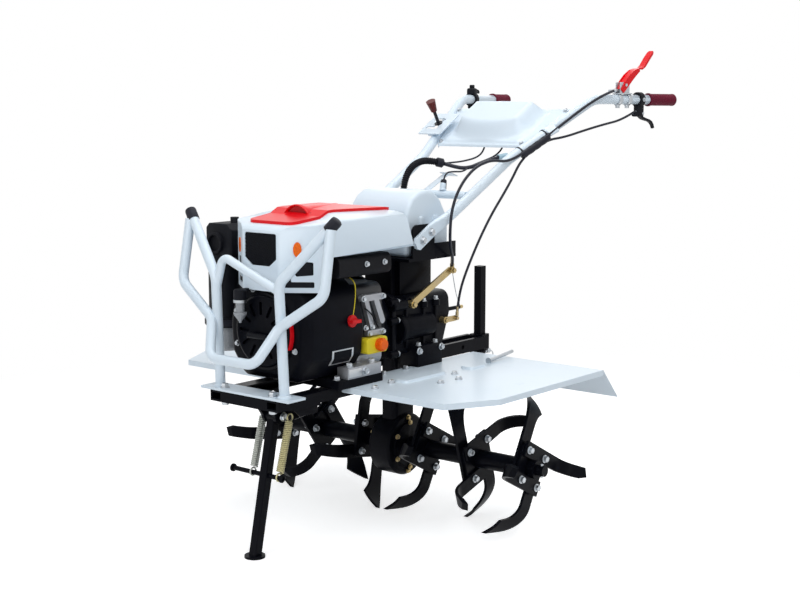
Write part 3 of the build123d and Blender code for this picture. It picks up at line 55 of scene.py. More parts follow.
class Tone:
    """A value in a finish's node tree: operators add Math nodes, node() adds any other."""

    def __init__(self, tree, out=None):
        self.tree = tree
        self.out = out

    def node(self, kind, settings=None, inputs=None, out=0):
        made = self.tree.nodes.new("ShaderNode" + kind)
        for key, value in (settings or {}).items():
            setattr(made, key, value)
        for key, value in (inputs or {}).items():
            if isinstance(value, Tone):
                self.tree.links.new(value.out, made.inputs[key])
            else:
                made.inputs[key].default_value = value
        return Tone(self.tree, made.outputs[out])

    def math(self, operation, *terms):
        return self.node("Math", {"operation": operation}, dict(enumerate(terms)))

    def __add__(self, other):
        return self.math("ADD", self, other)

    def __sub__(self, other):
        return self.math("SUBTRACT", self, other)

    def __rsub__(self, other):
        return self.math("SUBTRACT", other, self)

    def __mul__(self, other):
        return self.math("MULTIPLY", self, other)

    def __gt__(self, other):
        return self.math("GREATER_THAN", self, other)

    __radd__ = __add__
    __rmul__ = __mul__

    def noise(self, scale, detail=3.0, rough=0.5):
        return self.node("TexNoise", None, {"Vector": self, "Scale": scale, "Detail": detail, "Roughness": rough})

    def step(self, low, high):
        return self.node("MapRange", {"interpolation_type": "SMOOTHSTEP"},
                         {"Value": self, "From Min": low, "From Max": high})

    def mix(self, *shades):
        first, second = (shade if isinstance(shade, Tone) else (*shade, 1) for shade in shades)
        return self.node("Mix", {"data_type": "RGBA"}, {0: self, 6: first, 7: second}, 2)

    def bump(self, distance, strength):
        return self.node("Bump", None, {"Height": self, "Distance": distance, "Strength": strength})

    def along(self, direction):
        return self.node("VectorMath", {"operation": "DOT_PRODUCT"}, {0: self, 1: tuple(direction)}, "Value")


def finish(name, slot, look, **fixed):
    """A finish; look gives the shader's varying sockets from Object coordinates. Its slot argument is not used."""
    made = bpy.data.materials.new(name)
    made.use_nodes = True
    tree = made.node_tree
    shader = tree.nodes["Principled BSDF"]
    for socket, value in fixed.items():
        shader.inputs[socket.replace("_", " ")].default_value = value
    where = Tone(tree).node("TexCoord", None, None, "Object")
    for socket, tone in look(where).items():
        tree.links.new(tone.out, shader.inputs[socket])
    return made


def coated(shades, cloud, grain, rough, bump, soil=None, swell=0, edges=None):
    """The look of a coat in two clouded shades under a fine grain.

    rough is the grain's share, the cloud's share and the least; swell lets the clouds stand out, edges
    sharpens them. soil is a colour, its patches' noise and edges, its share and how much it dulls.
    """
    def look(where):
        clouds = where.noise(*cloud).step(*edges) if edges else where.noise(*cloud)
        grains = where.noise(*grain)
        colour = clouds.mix(*shades)
        gloss = grains * rough[0] + clouds * rough[1] + rough[2]
        if soil:
            tint, patch, patch_edges, share, dull = soil
            patches = where.noise(*patch).step(*patch_edges)
            colour = (patches * share).mix(colour, tint)
            gloss = gloss + patches * dull
        relief = grains + clouds * swell if swell else grains
        return {"Base Color": colour, "Roughness": gloss, "Normal": relief.bump(*bump)}
    return look


def dress(material, *nodes):
    """Put a finish on CAD nodes."""
    for node in nodes:
        for slot in frame["nodes"][node].material_slots:
            slot.material = material


black_enamel = finish("black_enamel", "black_paint", coated(
    shades=((0.002, 0.0023, 0.004), (0.0035, 0.004, 0.007)), cloud=(5, 3), grain=(300, 3), rough=(0.12, 0, 0.24),
    bump=(0.0003, 0.35), soil=((0.03, 0.031, 0.035), (16, 8, 0.62), (0.5, 0.82), 0.15, 0.22)),
    Specular_IOR_Level=0.05)
dress(black_enamel, "chassis_rails", "stand_bracket", "engine_mount_plate", "hitch", "depth_bar", "handle_bracket",
      "stand_leg")

# Chassis bolts: hex heads and washers on the guard's foot, the engine's feet and the gearbox's feet.
# Steel, bright zinc plated, screwed down through the rails.
axle_x = next(j for j in frame["joints"] if j["name"] == "rotor_spin")["pos_m"][0]
to_frame = Matrix.Translation((axle_x, 0, 0)) @ Matrix.Scale(0.001, 4)
bright_zinc = finish("bright_zinc", "zinc_steel", coated(
    shades=((0.36, 0.39, 0.42), (0.60, 0.63, 0.66)), cloud=(60, 4), grain=(700, 4, 0.6), rough=(0.2, 0.15, 0.2),
    bump=(0.0002, 0.25)), Metallic=1.0)


def facing(at, axis):
    """The place whose own Z looks along an axis."""
    return Matrix.Translation(Vector(at)) @ Vector(axis).to_track_quat("Z", "Y").to_matrix().to_4x4()


def join(shape, part, place=Matrix()):
    """Set a finished part into a larger shape at its place."""
    bmesh.ops.remove_doubles(part, verts=part.verts, dist=1e-4)
    bmesh.ops.transform(part, matrix=place, verts=part.verts)
    bmesh.ops.recalc_face_normals(part, faces=part.faces)
    kept = bpy.data.meshes.new("part")
    part.to_mesh(kept)
    part.free()
    shape.from_mesh(kept)
    bpy.data.meshes.remove(kept)


def spun(part, geom, steps, angle=math.tau, centre=(0, 0, 0), axis=(0, 0, 1), lift=0.0):
    """Spin a section round an axis, rising by lift at each step."""
    bmesh.ops.spin(part, geom=geom, cent=centre, axis=axis, dvec=(0, 0, lift), angle=angle, steps=steps,
                   use_merge=angle == math.tau, use_normal_flip=False, use_duplicate=False)


def turned(shape, profile, at, axis, steps=28):
    """A lathe form: (height, radius) pairs spun round an axis."""
    part = bmesh.new()
    points = [part.verts.new((radius, 0, height)) for height, radius in profile]
    spun(part, points + [part.edges.new(pair) for pair in zip(points, points[1:])], steps)
    join(shape, part, facing(at, axis))


def eased(part, edges, offset, segments=2, clamp=False):
    """Round edges over."""
    bmesh.ops.bevel(part, geom=edges, offset=offset, affect="EDGES", segments=segments, profile=0.5, material=-1,
                    clamp_overlap=clamp)


def hex_bolt(shape, at, axis, across=13.0, height=7.0, washer=2.0, turn=0.3):
    """A chamfered hex head with a pressed crown on a flat washer."""
    part = bmesh.new()
    flats = across * 0.577
    bmesh.ops.create_cone(part, cap_ends=True, segments=6, radius1=flats, radius2=flats, depth=height,
                          matrix=Matrix.Translation((0, 0, washer + height / 2)) @ Matrix.Rotation(turn, 4, "Z"))
    crown = max(part.faces, key=lambda face: face.calc_center_median().z)
    eased(part, crown.edges[:], across * 0.07)
    crown = max(part.faces, key=lambda face: face.calc_center_median().z)
    bmesh.ops.inset_individual(part, faces=[crown], thickness=across * 0.1, depth=-across * 0.06)
    join(shape, part, facing(at, axis))
    rim = across * 0.74
    turned(shape, [(0, 0), (0, rim), (washer * 0.8, rim), (washer, rim - 0.6), (washer, 0)], at, axis, 20)


def placed(name, data):
    """Give data an object of its own in the scene."""
    made = bpy.data.objects.new(name, data)
    bpy.context.scene.collection.objects.link(made)
    return made


def piece(name, shape, material, *replaced, body="machine", slot=None, crease=32):
    """Make a shape drawn in millimetres from the axle a piece on a body, in the place of CAD nodes if any."""
    bmesh.ops.transform(shape, matrix=to_frame, verts=shape.verts)
    mesh = bpy.data.meshes.new(name)
    shape.to_mesh(mesh)
    shape.free()
    mesh.materials.append(material)
    mesh.shade_smooth()
    mesh.set_sharp_from_angle(angle=math.radians(crease))
    made = placed(name, mesh)
    if body:
        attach(made, body)
    if replaced:
        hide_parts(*replaced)
    return made


forward = Vector((1, 0, 0))
left = Vector((0, 1, 0))
up = Vector((0, 0, 1))
sides = (1, -1)
rail_top = 411.98
bolts = bmesh.new()
for side in sides:
    for x, y, rise, across, height in ((567, 82, 6, 16, 9), (270, 137, 52, 14, 8), (354, 137, 52, 14, 8),
                                       (36, 100, 58, 12, 7), (-36, 100, 58, 12, 7), (180, 101, 2.5, 12, 7),
                                       (90, 101, 2.5, 12, 7), (390, 128, 24, 13, 7)):
        hex_bolt(bolts, (x, side * y, rail_top + rise), up, across, height)
    hex_bolt(bolts, (567, side * 82, rail_top - 27), -up, 16, 8)
    hex_bolt(bolts, (310, side * 150, 450), left * side, 15, 7)
    hex_bolt(bolts, (481, side * 32, rail_top - 66), left * side, 16, 6)
piece("chassis_bolts", bolts, bright_zinc)

# Stand gussets: two slanting webs under the rails that carry the pivot's cheeks.
# Cut from plate, welded to the bracket and enamelled with it.


def raised(outline, thick):
    """A solid cut to an outline of points and given its thickness."""
    part = bmesh.new()
    face = bmesh.ops.contextual_create(part, geom=[part.verts.new(point) for point in outline])["faces"]
    bmesh.ops.recalc_face_normals(part, faces=face)
    swept = bmesh.ops.extrude_face_region(part, geom=face)["geom"]
    bmesh.ops.translate(part, vec=thick, verts=[made for made in swept if isinstance(made, bmesh.types.BMVert)])
    bmesh.ops.recalc_face_normals(part, faces=part.faces)
    return part


def cut_plate(shape, outline, thick):
    """A plate cut to an outline, its edges just broken."""
    part = raised(outline, thick)
    eased(part, part.edges[:], 0.8)
    join(shape, part)


webs = bmesh.new()
for side in sides:
    slant = ((112, 380), (112, 366), (40, 334), (24, 334), (24, 380))
    cut_plate(webs, [(446, side * y, z) for y, z in slant], (6, 0, 0))
    cheek = ((443, 380), (525, 380), (505, 362), (443, 362))
    cut_plate(webs, [(x, side * 113, z) for x, z in cheek], (0, -side * 5, 0))
piece("stand_webs", webs, black_enamel)

# Rotor: a shaft with six four-tine sets, three a side, on square plates.
# Forged spring steel under thick black enamel, each plate held by four bolts through its tines.
tine_enamel = finish("tine_enamel", "black_paint", coated(
    shades=((0.002, 0.0023, 0.004), (0.0035, 0.004, 0.007)), cloud=(9, 3), grain=(240, 4), rough=(0.1, 0, 0.25),
    bump=(0.0005, 0.4), soil=((0.03, 0.03, 0.034), (40, 8, 0.7), (0.6, 0.75), 0.15, 0.2)), Specular_IOR_Level=0.05)
tine_sets = ("left_inner", "left_middle", "left_outer", "right_inner", "right_middle", "right_outer")
dress(tine_enamel, "rotor_shaft", *("tines_" + name for name in tine_sets))
axle_z = 184.38
first_set = 107
set_pitch = 164
bolt_circle = 55
plate_half = 12
toe_skew = math.degrees(math.atan2(75 - 42 - 95 * 0.5 + 30 * 0.866, 92 + 95 * 0.866 + 30 * 0.5))
lead = 13.5
set_turns = {1: (45 - lead, -lead, 45 - lead), -1: (lead, lead - 45, lead)}
bolts = bmesh.new()
for side, turns in set_turns.items():
    for index, turn in enumerate(turns):
        plate_y = side * (first_set + set_pitch * index)
        for quarter in range(4):
            angle = math.radians(turn - toe_skew + 45 + 90 * quarter)
            reach = Vector((math.cos(angle), 0, math.sin(angle))) * bolt_circle
            for face in sides:
                spot = reach + Vector((0, plate_y + face * plate_half, axle_z))
                hex_bolt(bolts, spot, left * face, 14, 8, 2.2, angle)
piece("tine_bolts", bolts, bright_zinc, body="rotor")

# Shaft ends: the turned stubs outside the last sets, each with a headed cross pin.
# Bare steel pins, pushed through the shaft to keep a disc or wheel on.
pins = bmesh.new()
for side in sides:
    turned(pins, [(0, 0), (0, 3.4), (1, 4.4), (4, 4.4), (5, 3.4), (34, 3.4), (35, 2.6), (35, 0)],
           (0, side * 474, axle_z + 17.5), -up, 16)
piece("shaft_pins", pins, bright_zinc, body="rotor")

# Final drive, gearbox and bell housing: iron castings, joined by flanges round the drive.
# Sand cast, black enamel over the cast skin; the drive's cover bolts are yellow passivated.
cast_enamel = finish("cast_enamel", "black_paint", coated(
    shades=((0.002, 0.0023, 0.004), (0.004, 0.0045, 0.008)), cloud=(45, 3), grain=(900, 2, 0.7),
    rough=(0.18, 0, 0.28), bump=(0.0006, 0.35), swell=2,
    soil=((0.03, 0.03, 0.034), (20, 8, 0.65), (0.52, 0.8), 0.15, 0.15)), Specular_IOR_Level=0.05)
to_mm = to_frame.inverted()


def copied(node):
    """A node's mesh in millimetres from the axle, its loose triangles merged."""
    shape = bmesh.new()
    shape.from_mesh(frame["nodes"][node].data)
    bmesh.ops.transform(shape, matrix=to_mm, verts=shape.verts)
    bmesh.ops.remove_doubles(shape, verts=shape.verts, dist=0.01)
    return shape


def softened(node, name, material, radius, sharp=28, least=0):
    """A copy of a node with the corners between its larger faces rounded over, as a mould leaves them."""
    shape = copied(node)
    bmesh.ops.dissolve_limit(shape, angle_limit=math.radians(2), use_dissolve_boundaries=False,
                             verts=shape.verts, edges=shape.edges)
    corners = [edge for edge in shape.edges if edge.is_manifold and edge.calc_face_angle(0) > math.radians(sharp)
               and min(face.calc_area() for face in edge.link_faces) > least]
    eased(shape, corners, radius, 3, not least)
    piece(name, shape, material, node, crease=40)


softened("final_drive", "drive_casting", cast_enamel, 2.5)
softened("gearbox", "gearbox_casting", cast_enamel, 4)
softened("bell_housing", "bell_casting", cast_enamel, 3)
yellow_passivate = finish("yellow_passivate", "brass_plate", coated(
    shades=((0.40, 0.29, 0.12), (0.58, 0.47, 0.25)), cloud=(45, 5, 0.6), grain=(600, 3), rough=(0.2, 0.15, 0.22),
    bump=(0.0002, 0.25), soil=((0.47, 0.39, 0.28), (16, 3), (0.5, 0.72), 0.5, 0)), Metallic=0.9)
cover_circle = 62
bolts = bmesh.new()
for side in sides:
    for step in range(6):
        angle = math.radians(60 * (step + 0.5))
        spot = (cover_circle * math.cos(angle), side * 42, axle_z + cover_circle * math.sin(angle))
        hex_bolt(bolts, spot, left * side, 10, 5, 1.4, angle)
    for rise in (74, -74):
        hex_bolt(bolts, (0, side * 36, axle_z + rise), left * side, 11, 5, 1.5)
piece("drive_bolts", bolts, yellow_passivate)

# Flange lugs: bosses cast on the bell housing's rim and the gearbox's shoulders for the joint's bolts.
# Same iron and enamel as the castings, faced off where the zinc heads bear.
lug_len = 30
lug_top = 584
lugs = bmesh.new()
bolts = bmesh.new()
for side in sides:
    for height in (459, 547, 596):
        spot = Vector((150, side * 95, height))
        turned(lugs, [(0, 0), (0, 9), (1, 10), (lug_len - 1, 10), (lug_len, 9), (lug_len, 0)], spot, -forward, 20)
        hex_bolt(bolts, spot - forward * lug_len, -forward, 13, 7)
    for x in (-3, -55):
        turned(lugs, [(-18, 4), (-16, 12), (-2, 12), (0, 10), (0, 0)], (x, side * 86, lug_top), up, 20)
        hex_bolt(bolts, (x, side * 86, lug_top), up, 12, 7)
    for x in (47, -47):
        hex_bolt(bolts, (x, side * 112, 458), left * side, 13, 6)
    turned(lugs, [(-6, 0), (-6, 27), (0, 33), (112, 36), (120, 35), (124, 40), (138, 40), (141, 37), (141, 0)],
           (-34, side * 76, 520), forward, 44)
    turned(lugs, [(0, 0), (0, 12), (2, 14), (52, 14), (55, 11), (55, 0)], (86, side * 96, 586), forward)
for step in range(6):
    angle = math.radians(30 + 60 * step)
    hex_bolt(bolts, (-132, 38 * math.cos(angle), rail_top + 130 + 38 * math.sin(angle)), -forward, 9, 5, 1.5)
piece("flange_lugs", lugs, cast_enamel)
piece("flange_bolts", bolts, bright_zinc)

# Front guard: bent steel tube on a flat foot, its horns capped with moulded rubber.
# White gloss enamel over the welds; beads show where the tubes meet the foot.
white_enamel = finish("white_enamel", "white_paint", coated(
    shades=((0.62, 0.73, 0.83), (0.70, 0.80, 0.89)), cloud=(4, 3), grain=(170, 2), rough=(0.08, 0, 0.3),
    bump=(0.0003, 0.15), soil=((0.52, 0.57, 0.62), (26, 8, 0.65), (0.58, 0.85), 0.2, 0.2)),
    Coat_Weight=0.08, Coat_Roughness=0.1)
dress(white_enamel, "front_bumper", "fender_left", "fender_right", "handlebar_tie", "gear_gate")
beads = bmesh.new()
for side in sides:
    turned(beads, [(0, 12), (0, 17.5), (2.2, 16.2), (4.6, 13.6), (6, 12)], (555.2, side * 110, 417.9), up, 40)
piece("guard_welds", beads, white_enamel, crease=60)
black_rubber = finish("black_rubber", "black_rubber", coated(
    shades=((0.010, 0.011, 0.018), (0.026, 0.028, 0.040)), cloud=(30, 6, 0.6), edges=(0.5, 0.8),
    grain=(900, 3, 0.6), rough=(0.1, 0.2, 0.45), bump=(0.0003, 0.4)), Specular_IOR_Level=0.2)
dress(black_rubber, "bumper_caps")
caps = bmesh.new()
for side in sides:
    horn_foot = Vector((567, side * 107, rail_top + 278))
    horn_end = Vector((520, side * 243, rail_top + 425))
    turned(caps, [(-24, 12.6), (-24, 14), (-23, 14.4), (4, 14.4), (8, 13.4), (10, 10), (10, 0)], horn_end,
           horn_end - horn_foot, 32)
piece("horn_caps", caps, black_rubber)

# Stand springs: two close-wound coils from the bracket's lugs to the cross bar, hooked at both ends.
# Spring wire under a thin zinc plate that has turned olive.


def spring_plate(where):
    cloud = where.noise(28, 4)
    grain = where.noise(600, 3)
    cool = cloud.mix((0.34, 0.36, 0.33), (0.50, 0.52, 0.48))
    olive = cloud.mix((0.40, 0.36, 0.19), (0.56, 0.52, 0.30))
    return {"Base Color": where.along(left).step(-0.03, 0.03).mix(cool, olive), "Roughness": grain * 0.2 + 0.3,
            "Normal": grain.bump(0.0002, 0.3)}


def wire_section(part, wire, radius, segments):
    """A wire's round section, a radius out from the Z axis, ready to spin."""
    loop = bmesh.ops.create_circle(part, cap_ends=False, segments=segments, radius=wire, matrix=Matrix.Translation(
        (radius, 0, 0)) @ Matrix.Rotation(math.pi / 2, 4, "X"))
    return loop["verts"] + part.edges[:]


def wire_ring(shape, wire, radius, at, axis, steps):
    """A closed ring of wire round an axis."""
    ring = bmesh.new()
    spun(ring, wire_section(ring, wire, radius, 8), steps)
    join(shape, ring, facing(at, axis))


def capped(part):
    """Close the open ends of a tube."""
    bmesh.ops.holes_fill(part, edges=[edge for edge in part.edges if edge.is_boundary], sides=0)


spring_zinc = finish("spring_zinc", "zinc_steel", spring_plate, Metallic=0.7)
spring_top = Vector((468, 0, rail_top - 56))
stand_pivot = Vector((481, 0, rail_top - 66))
cross_bar = stand_pivot + Vector((73, 0, 66 - rail_top)).normalized() * 150
pull = (cross_bar - spring_top).normalized()
wire = 2.25
coils = 27
coil_steps = 14
springs = bmesh.new()
for side in sides:
    beside = left * side * 45
    part = bmesh.new()
    spun(part, wire_section(part, wire, 10.5 - wire, 7), coil_steps * coils, math.tau * coils,
         lift=2 * wire * 1.04 / coil_steps)
    capped(part)
    join(springs, part, facing(spring_top + beside + pull * 22, pull))
    for hook in (spring_top + pull * 12, cross_bar - pull * 2):
        wire_ring(springs, wire, 9.5, hook + beside, left, 24)
spring_coils = piece("stand_coils", springs, spring_zinc, "stand_springs", body=None, crease=60)
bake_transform(spring_coils)
rings = bmesh.new()
for y in (55, -115):
    turned(rings, [(-3, 5.5), (-3, 9), (-2, 10.2), (2, 10.2), (3, 9), (3, 5.5)], cross_bar + left * y, left)
piece("cross_bar_collars", rings, black_enamel, body="stand")

# Engine: an aluminium crankcase on feet, with a black fan housing, cowl, silencer and starter cover.
# Die cast, the block's upper parts enamelled black and its feet and governor arms left bare.


def bare_casting(where):
    grain = where.noise(800, 3, 0.65)
    cloud = where.noise(30, 4)
    stain = where.noise(14, 8, 0.7).step(0.5, 0.75)
    height = where.along(up)
    arms = (where.along(left) > 0.1165) * (height > 0.5)
    foot = 1 - height.step(0.478, 0.484)
    bare = arms + foot - arms * foot
    silver = (stain * 0.4).mix(cloud.mix((0.30, 0.31, 0.33), (0.46, 0.47, 0.50)), (0.24, 0.24, 0.25))
    return {"Base Color": bare.mix((0.004, 0.0045, 0.007), silver), "Metallic": bare * 0.75,
            "Roughness": grain * 0.15 + stain * 0.12 + 0.32, "Normal": (grain + cloud).bump(0.0005, 0.4)}


softened("crankcase", "crank_casting", finish("crank_casting", "aluminium", bare_casting), 2)
softened("fan_housing", "fan_casting", cast_enamel, 6)
softened("cylinder_cowl", "cowl_casting", cast_enamel, 4)
heat_enamel = finish("heat_enamel", "black_paint", coated(
    shades=((0.005, 0.005, 0.007), (0.0175, 0.0145, 0.014)), cloud=(11, 4), edges=(0.5, 0.75),
    grain=(120, 6, 0.65), rough=(0.2, 0, 0.5), bump=(0.0004, 0.4)), Specular_IOR_Level=0.12)
dress(heat_enamel, "silencer")
fan_circle = 107
bolts = bmesh.new()
for x in (232, 300):
    hex_bolt(bolts, (x, 148, 716), left, 10, 5, 1.5)
for step in range(8):
    angle = math.radians(22.5 + 45 * step)
    if math.sin(angle) > -0.5:
        spot = (505, fan_circle * math.cos(angle), rail_top + 148 + fan_circle * math.sin(angle))
        hex_bolt(bolts, spot, forward, 10, 5, 1.5, angle)
for x, z in ((215, 626), (291, 626), (283, 552), (258, 552), (216, 536), (268, 536)):
    hex_bolt(bolts, (x, 129, z), left, 10, 5, 1.4)
piece("engine_bolts", bolts, bright_zinc)

# Governor link and fuel line: a bent wire between the arms and a clear yellow tube to the winged cap.
# Drawn steel wire and soft plastic tube, pushed on at their ends.


def route(name, points, radius):
    """A smooth spline through a cord's points, as thick as the cord."""
    line = bpy.data.curves.new(name, "CURVE")
    line.dimensions = "3D"
    line.bevel_depth = radius / 1000
    line.bevel_resolution = 4
    line.resolution_u = 10
    line.use_fill_caps = True
    spline = line.splines.new("NURBS")
    spline.points.add(len(points) - 1)
    for knot, point in zip(spline.points, points):
        knot.co = (*(to_frame @ Vector(point)), 1)
    spline.order_u = 3
    spline.use_endpoint_u = True
    return placed(name, line)


def cable(name, points, radius, material, *replaced):
    """A round cord or wire that the machine holds at both ends."""
    made = route(name, points, radius)
    made.data.materials.append(material)
    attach(made, "machine")
    if replaced:
        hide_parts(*replaced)


yellow_plastic = finish("yellow_plastic", "yellow_plastic", coated(
    shades=((0.62, 0.50, 0.02), (0.80, 0.66, 0.03)), cloud=(40, 3), grain=(200, 6, 0.7), rough=(0.25, 0, 0.2),
    bump=(0.0002, 0.3)), Specular_IOR_Level=0.2)
softened("oil_filler", "oil_filler_neck", yellow_plastic, 3)
cable("fuel_line", [(330, 100, 690), (332, 136, 680), (334, 142, 650), (338, 141, 612), (341, 139, 592)], 1.1,
      yellow_plastic)
cable("governor_link", [(288, 131, 602), (270, 134, 592), (252, 134, 566), (236, 131, 548)], 1.8, black_enamel)

# Filler caps: an orange screw cap on the oil filler and a red winged cap on the fan housing.
# Injection moulded, each with a ribbed rim to grip.


def cap_plastic(where):
    cloud = where.noise(60, 3)
    scuff = where.noise(300, 5, 0.7)
    orange = cloud.mix((0.80, 0.10, 0.004), (0.88, 0.15, 0.006))
    red = cloud.mix((0.55, 0.008, 0.012), (0.70, 0.014, 0.018))
    return {"Base Color": where.along(forward).step(0.445, 0.455).mix(orange, red), "Roughness": scuff * 0.2 + 0.2,
            "Normal": scuff.bump(0.0002, 0.3)}


cap_colours = finish("cap_plastic", "orange_plastic", cap_plastic, Specular_IOR_Level=0.2)
dress(cap_colours, "filler_caps")
knurl = bmesh.new()
for x, y, z, radius, rib, tip, deep in ((249, 146, rail_top + 96, 15, 2, 1.2, 13),
                                        (345, 137, rail_top + 166, 14, 1.8, 1.1, 6)):
    for step in range(16):
        angle = math.tau * step / 16
        turned(knurl, [(0, 0), (0, tip), (1, rib), (deep - 1, rib), (deep, tip), (deep, 0)],
               (x + radius * math.cos(angle), y, z + radius * math.sin(angle)), left, 8)
piece("cap_ribs", knurl, cap_colours)

# Data plates: blank stamped plates on the fan housing's slanted side and the crankcase's foot.
# Thin aluminium, a raised frame round a dark bare field, held by four drive rivets.


def plate(shape, size, at, edge=0.8, segments=2, turn=Matrix()):
    """A flat plate or block with eased edges."""
    part = bmesh.new()
    bmesh.ops.create_cube(part, size=1, matrix=Matrix.Diagonal((*size, 1)))
    eased(part, part.edges[:], edge, segments)
    join(shape, part, Matrix.Translation(at) @ turn)


def loft(part, loops):
    """Skin a run of edge loops and close its two ends."""
    for first, second in zip(loops, loops[1:]):
        bmesh.ops.bridge_loops(part, edges=first + second)
    capped(part)
    bmesh.ops.recalc_face_normals(part, faces=part.faces)


def strip(shape, stations, side):
    """A bar of changing section through (point, width, thickness) stations, wide along side."""
    part = bmesh.new()
    loops = []
    points = [Vector(point) for point, width, thick in stations]
    for index, (point, width, thick) in enumerate(stations):
        run = points[min(index + 1, len(points) - 1)] - points[max(index - 1, 0)]
        rise = run.cross(side).normalized() * thick / 2
        wide = side * width / 2
        corners = [part.verts.new(Vector(point) + a * wide + b * rise)
                   for a, b in ((1, 1), (-1, 1), (-1, -1), (1, -1))]
        loops.append([part.edges.new((corners[i], corners[i - 1])) for i in range(4)])
    loft(part, loops)
    join(shape, part)


def rolled_sheet(where):
    brush = where.node("Mapping", None, {"Vector": where, "Scale": (40, 900, 900)}).noise(1, 4)
    stain = where.noise(30, 6).step(0.5, 0.8)
    return {"Base Color": (stain * 0.4).mix((0.60, 0.61, 0.62), (0.36, 0.37, 0.38)),
            "Roughness": brush * 0.25 + 0.25, "Normal": brush.bump(0.0001, 0.3)}


badges = bmesh.new()
bend = [(134.6, 511), (133.2, 493), (131.8, 489.4), (120.6, 473.6)]
strip(badges, [((374, y, z), 78, 1.2) for y, z in bend], forward)
for x in (339, 409):
    for y, z, axis in ((134.9, 507, (0, 1, 0.08)), (123.4, 477, (0, 0.809, -0.588))):
        turned(badges, [(0, 0), (0, 2.4), (0.8, 1.9), (1.4, 0)], (x, y, z), axis, 12)
plate(badges, (46, 1.2, 20), (346, 150.4, 450), 0.4)
piece("data_plates", badges, finish("plate_sheet", "aluminium", rolled_sheet, Metallic=0.9))
fields = bmesh.new()
strip(fields, [((374, y + 0.6, z), 64, 1.2) for y, z in ((134.4, 508), *bend[1:3], (123, 477))], forward)
piece("data_plate_fields", fields, black_enamel)

# Recoil starter: a slotted cover with a rim round it and a pull grip on its rope.
# Pressed steel under black enamel; rim and grip are black plastic, with a red catch on the rim's left side.
dress(black_enamel, "recoil_starter")


def red_moulding(where):
    cloud = where.noise(7, 3)
    scuff = where.noise(260, 5, 0.65)
    streak = where.node("Mapping", None, {"Vector": where, "Scale": (6, 60, 60)}).noise(1, 3)
    shade = cloud.mix((0.66, 0.003, 0.008), (0.80, 0.006, 0.013))
    return {"Base Color": (streak.step(0.5, 0.8) * 0.25).mix(shade, (0.80, 0.03, 0.04)),
            "Roughness": scuff * 0.14 + 0.24, "Normal": (scuff + cloud * 4).bump(0.0001, 0.2)}


def starter_rim(where):
    parts = red_moulding(where)
    height = where.along(up)
    catch = (where.along(left) > 0.06) * (height > 0.522) * (1 - (height > 0.592))
    return {**parts, "Base Color": catch.mix((0.004, 0.0045, 0.007), parts["Base Color"])}


red_plastic = finish("red_plastic", "red_plastic", red_moulding, Specular_IOR_Level=0.2, Coat_Weight=0.05)
dress(finish("starter_rim", "red_plastic", starter_rim, Specular_IOR_Level=0.1), "starter_grip")

# Hood: a white moulded shell with a red crown cover, a mesh grille and corner windows.
# Glass-filled plastic with a smooth gel face; the mesh is woven black wire behind the nose.
white_plastic = finish("white_plastic", "white_plastic", coated(
    shades=((0.62, 0.73, 0.83), (0.69, 0.79, 0.88)), cloud=(3, 4), grain=(220, 3), rough=(0.1, 0, 0.28),
    bump=(0.0003, 0.12), swell=6, soil=((0.54, 0.59, 0.64), (18, 8, 0.65), (0.6, 0.85), 0.2, 0.15)),
    Coat_Weight=0.08, Coat_Roughness=0.12)
softened("hood", "hood_shell", white_plastic, 5, 34, 1200)
scoop = Vector((388, 0, 812.6))


def red_crown(where):
    parts = red_moulding(where)
    ahead = where.along(forward)
    aside = where.along(left)
    low, high = ((scoop.x + reach) / 1000 + axle_x for reach in (-1.4, 1.4))
    # Painted shade: the scoop's front face is coloured deep red where its open mouth would lie in shade, as no
    # recess is cut; the darkening eases by a third towards the top and stops outside the scoop's width.
    painted_mouth_shade = (ahead > low) * (1 - (ahead > high)) * (1 - where.along(up).step(0.838, 0.858) * 0.35)
    painted_mouth_shade = painted_mouth_shade * (1 - (aside.math("ABSOLUTE", aside) > 0.045))
    return {**parts, "Base Color": painted_mouth_shade.mix(parts["Base Color"], (0.30, 0.002, 0.004))}


dress(finish("red_crown", "red_plastic", red_crown, Specular_IOR_Level=0.2, Coat_Weight=0.05), "hood_top_cover")
lip = bmesh.new()
rolled_edge = ((-26, 47.2), (-6, 49), (5, 49.4), (7, 48.4), (7, 46), (5, 44.8), (-1, 44.6))
points = [lip.verts.new(scoop + Vector((x, 0, radius))) for x, radius in rolled_edge]
edges = [lip.edges.new(pair) for pair in zip(points, points[1:])]
lip_half = 1.3
bmesh.ops.rotate(lip, verts=points, cent=scoop, matrix=Matrix.Rotation(-lip_half, 3, "X"))
spun(lip, points + edges, 28, 2 * lip_half, scoop, forward)
bmesh.ops.remove_doubles(lip, verts=lip.verts, dist=1e-3)
bmesh.ops.recalc_face_normals(lip, faces=lip.faces)
bmesh.ops.solidify(lip, geom=lip.faces[:], thickness=1.2)
piece("scoop_lip", lip, red_plastic, crease=50)
black_plastic = finish("black_plastic", "black_plastic", coated(
    shades=((0.004, 0.0045, 0.007), (0.008, 0.009, 0.013)), cloud=(12, 4), grain=(1100, 3, 0.6),
    rough=(0.2, 0.1, 0.38), bump=(0.0004, 0.5)), Specular_IOR_Level=0.12)
dress(black_plastic, "hood_grille")
softened("air_cleaner", "air_cleaner_shell", black_plastic, 4)


def cut_off(shape, at, normal):
    """Take away all of a shape beyond a plane."""
    bmesh.ops.bisect_plane(shape, geom=shape.verts[:] + shape.edges[:] + shape.faces[:], dist=1e-4, plane_co=at,
                           plane_no=normal, clear_outer=True)


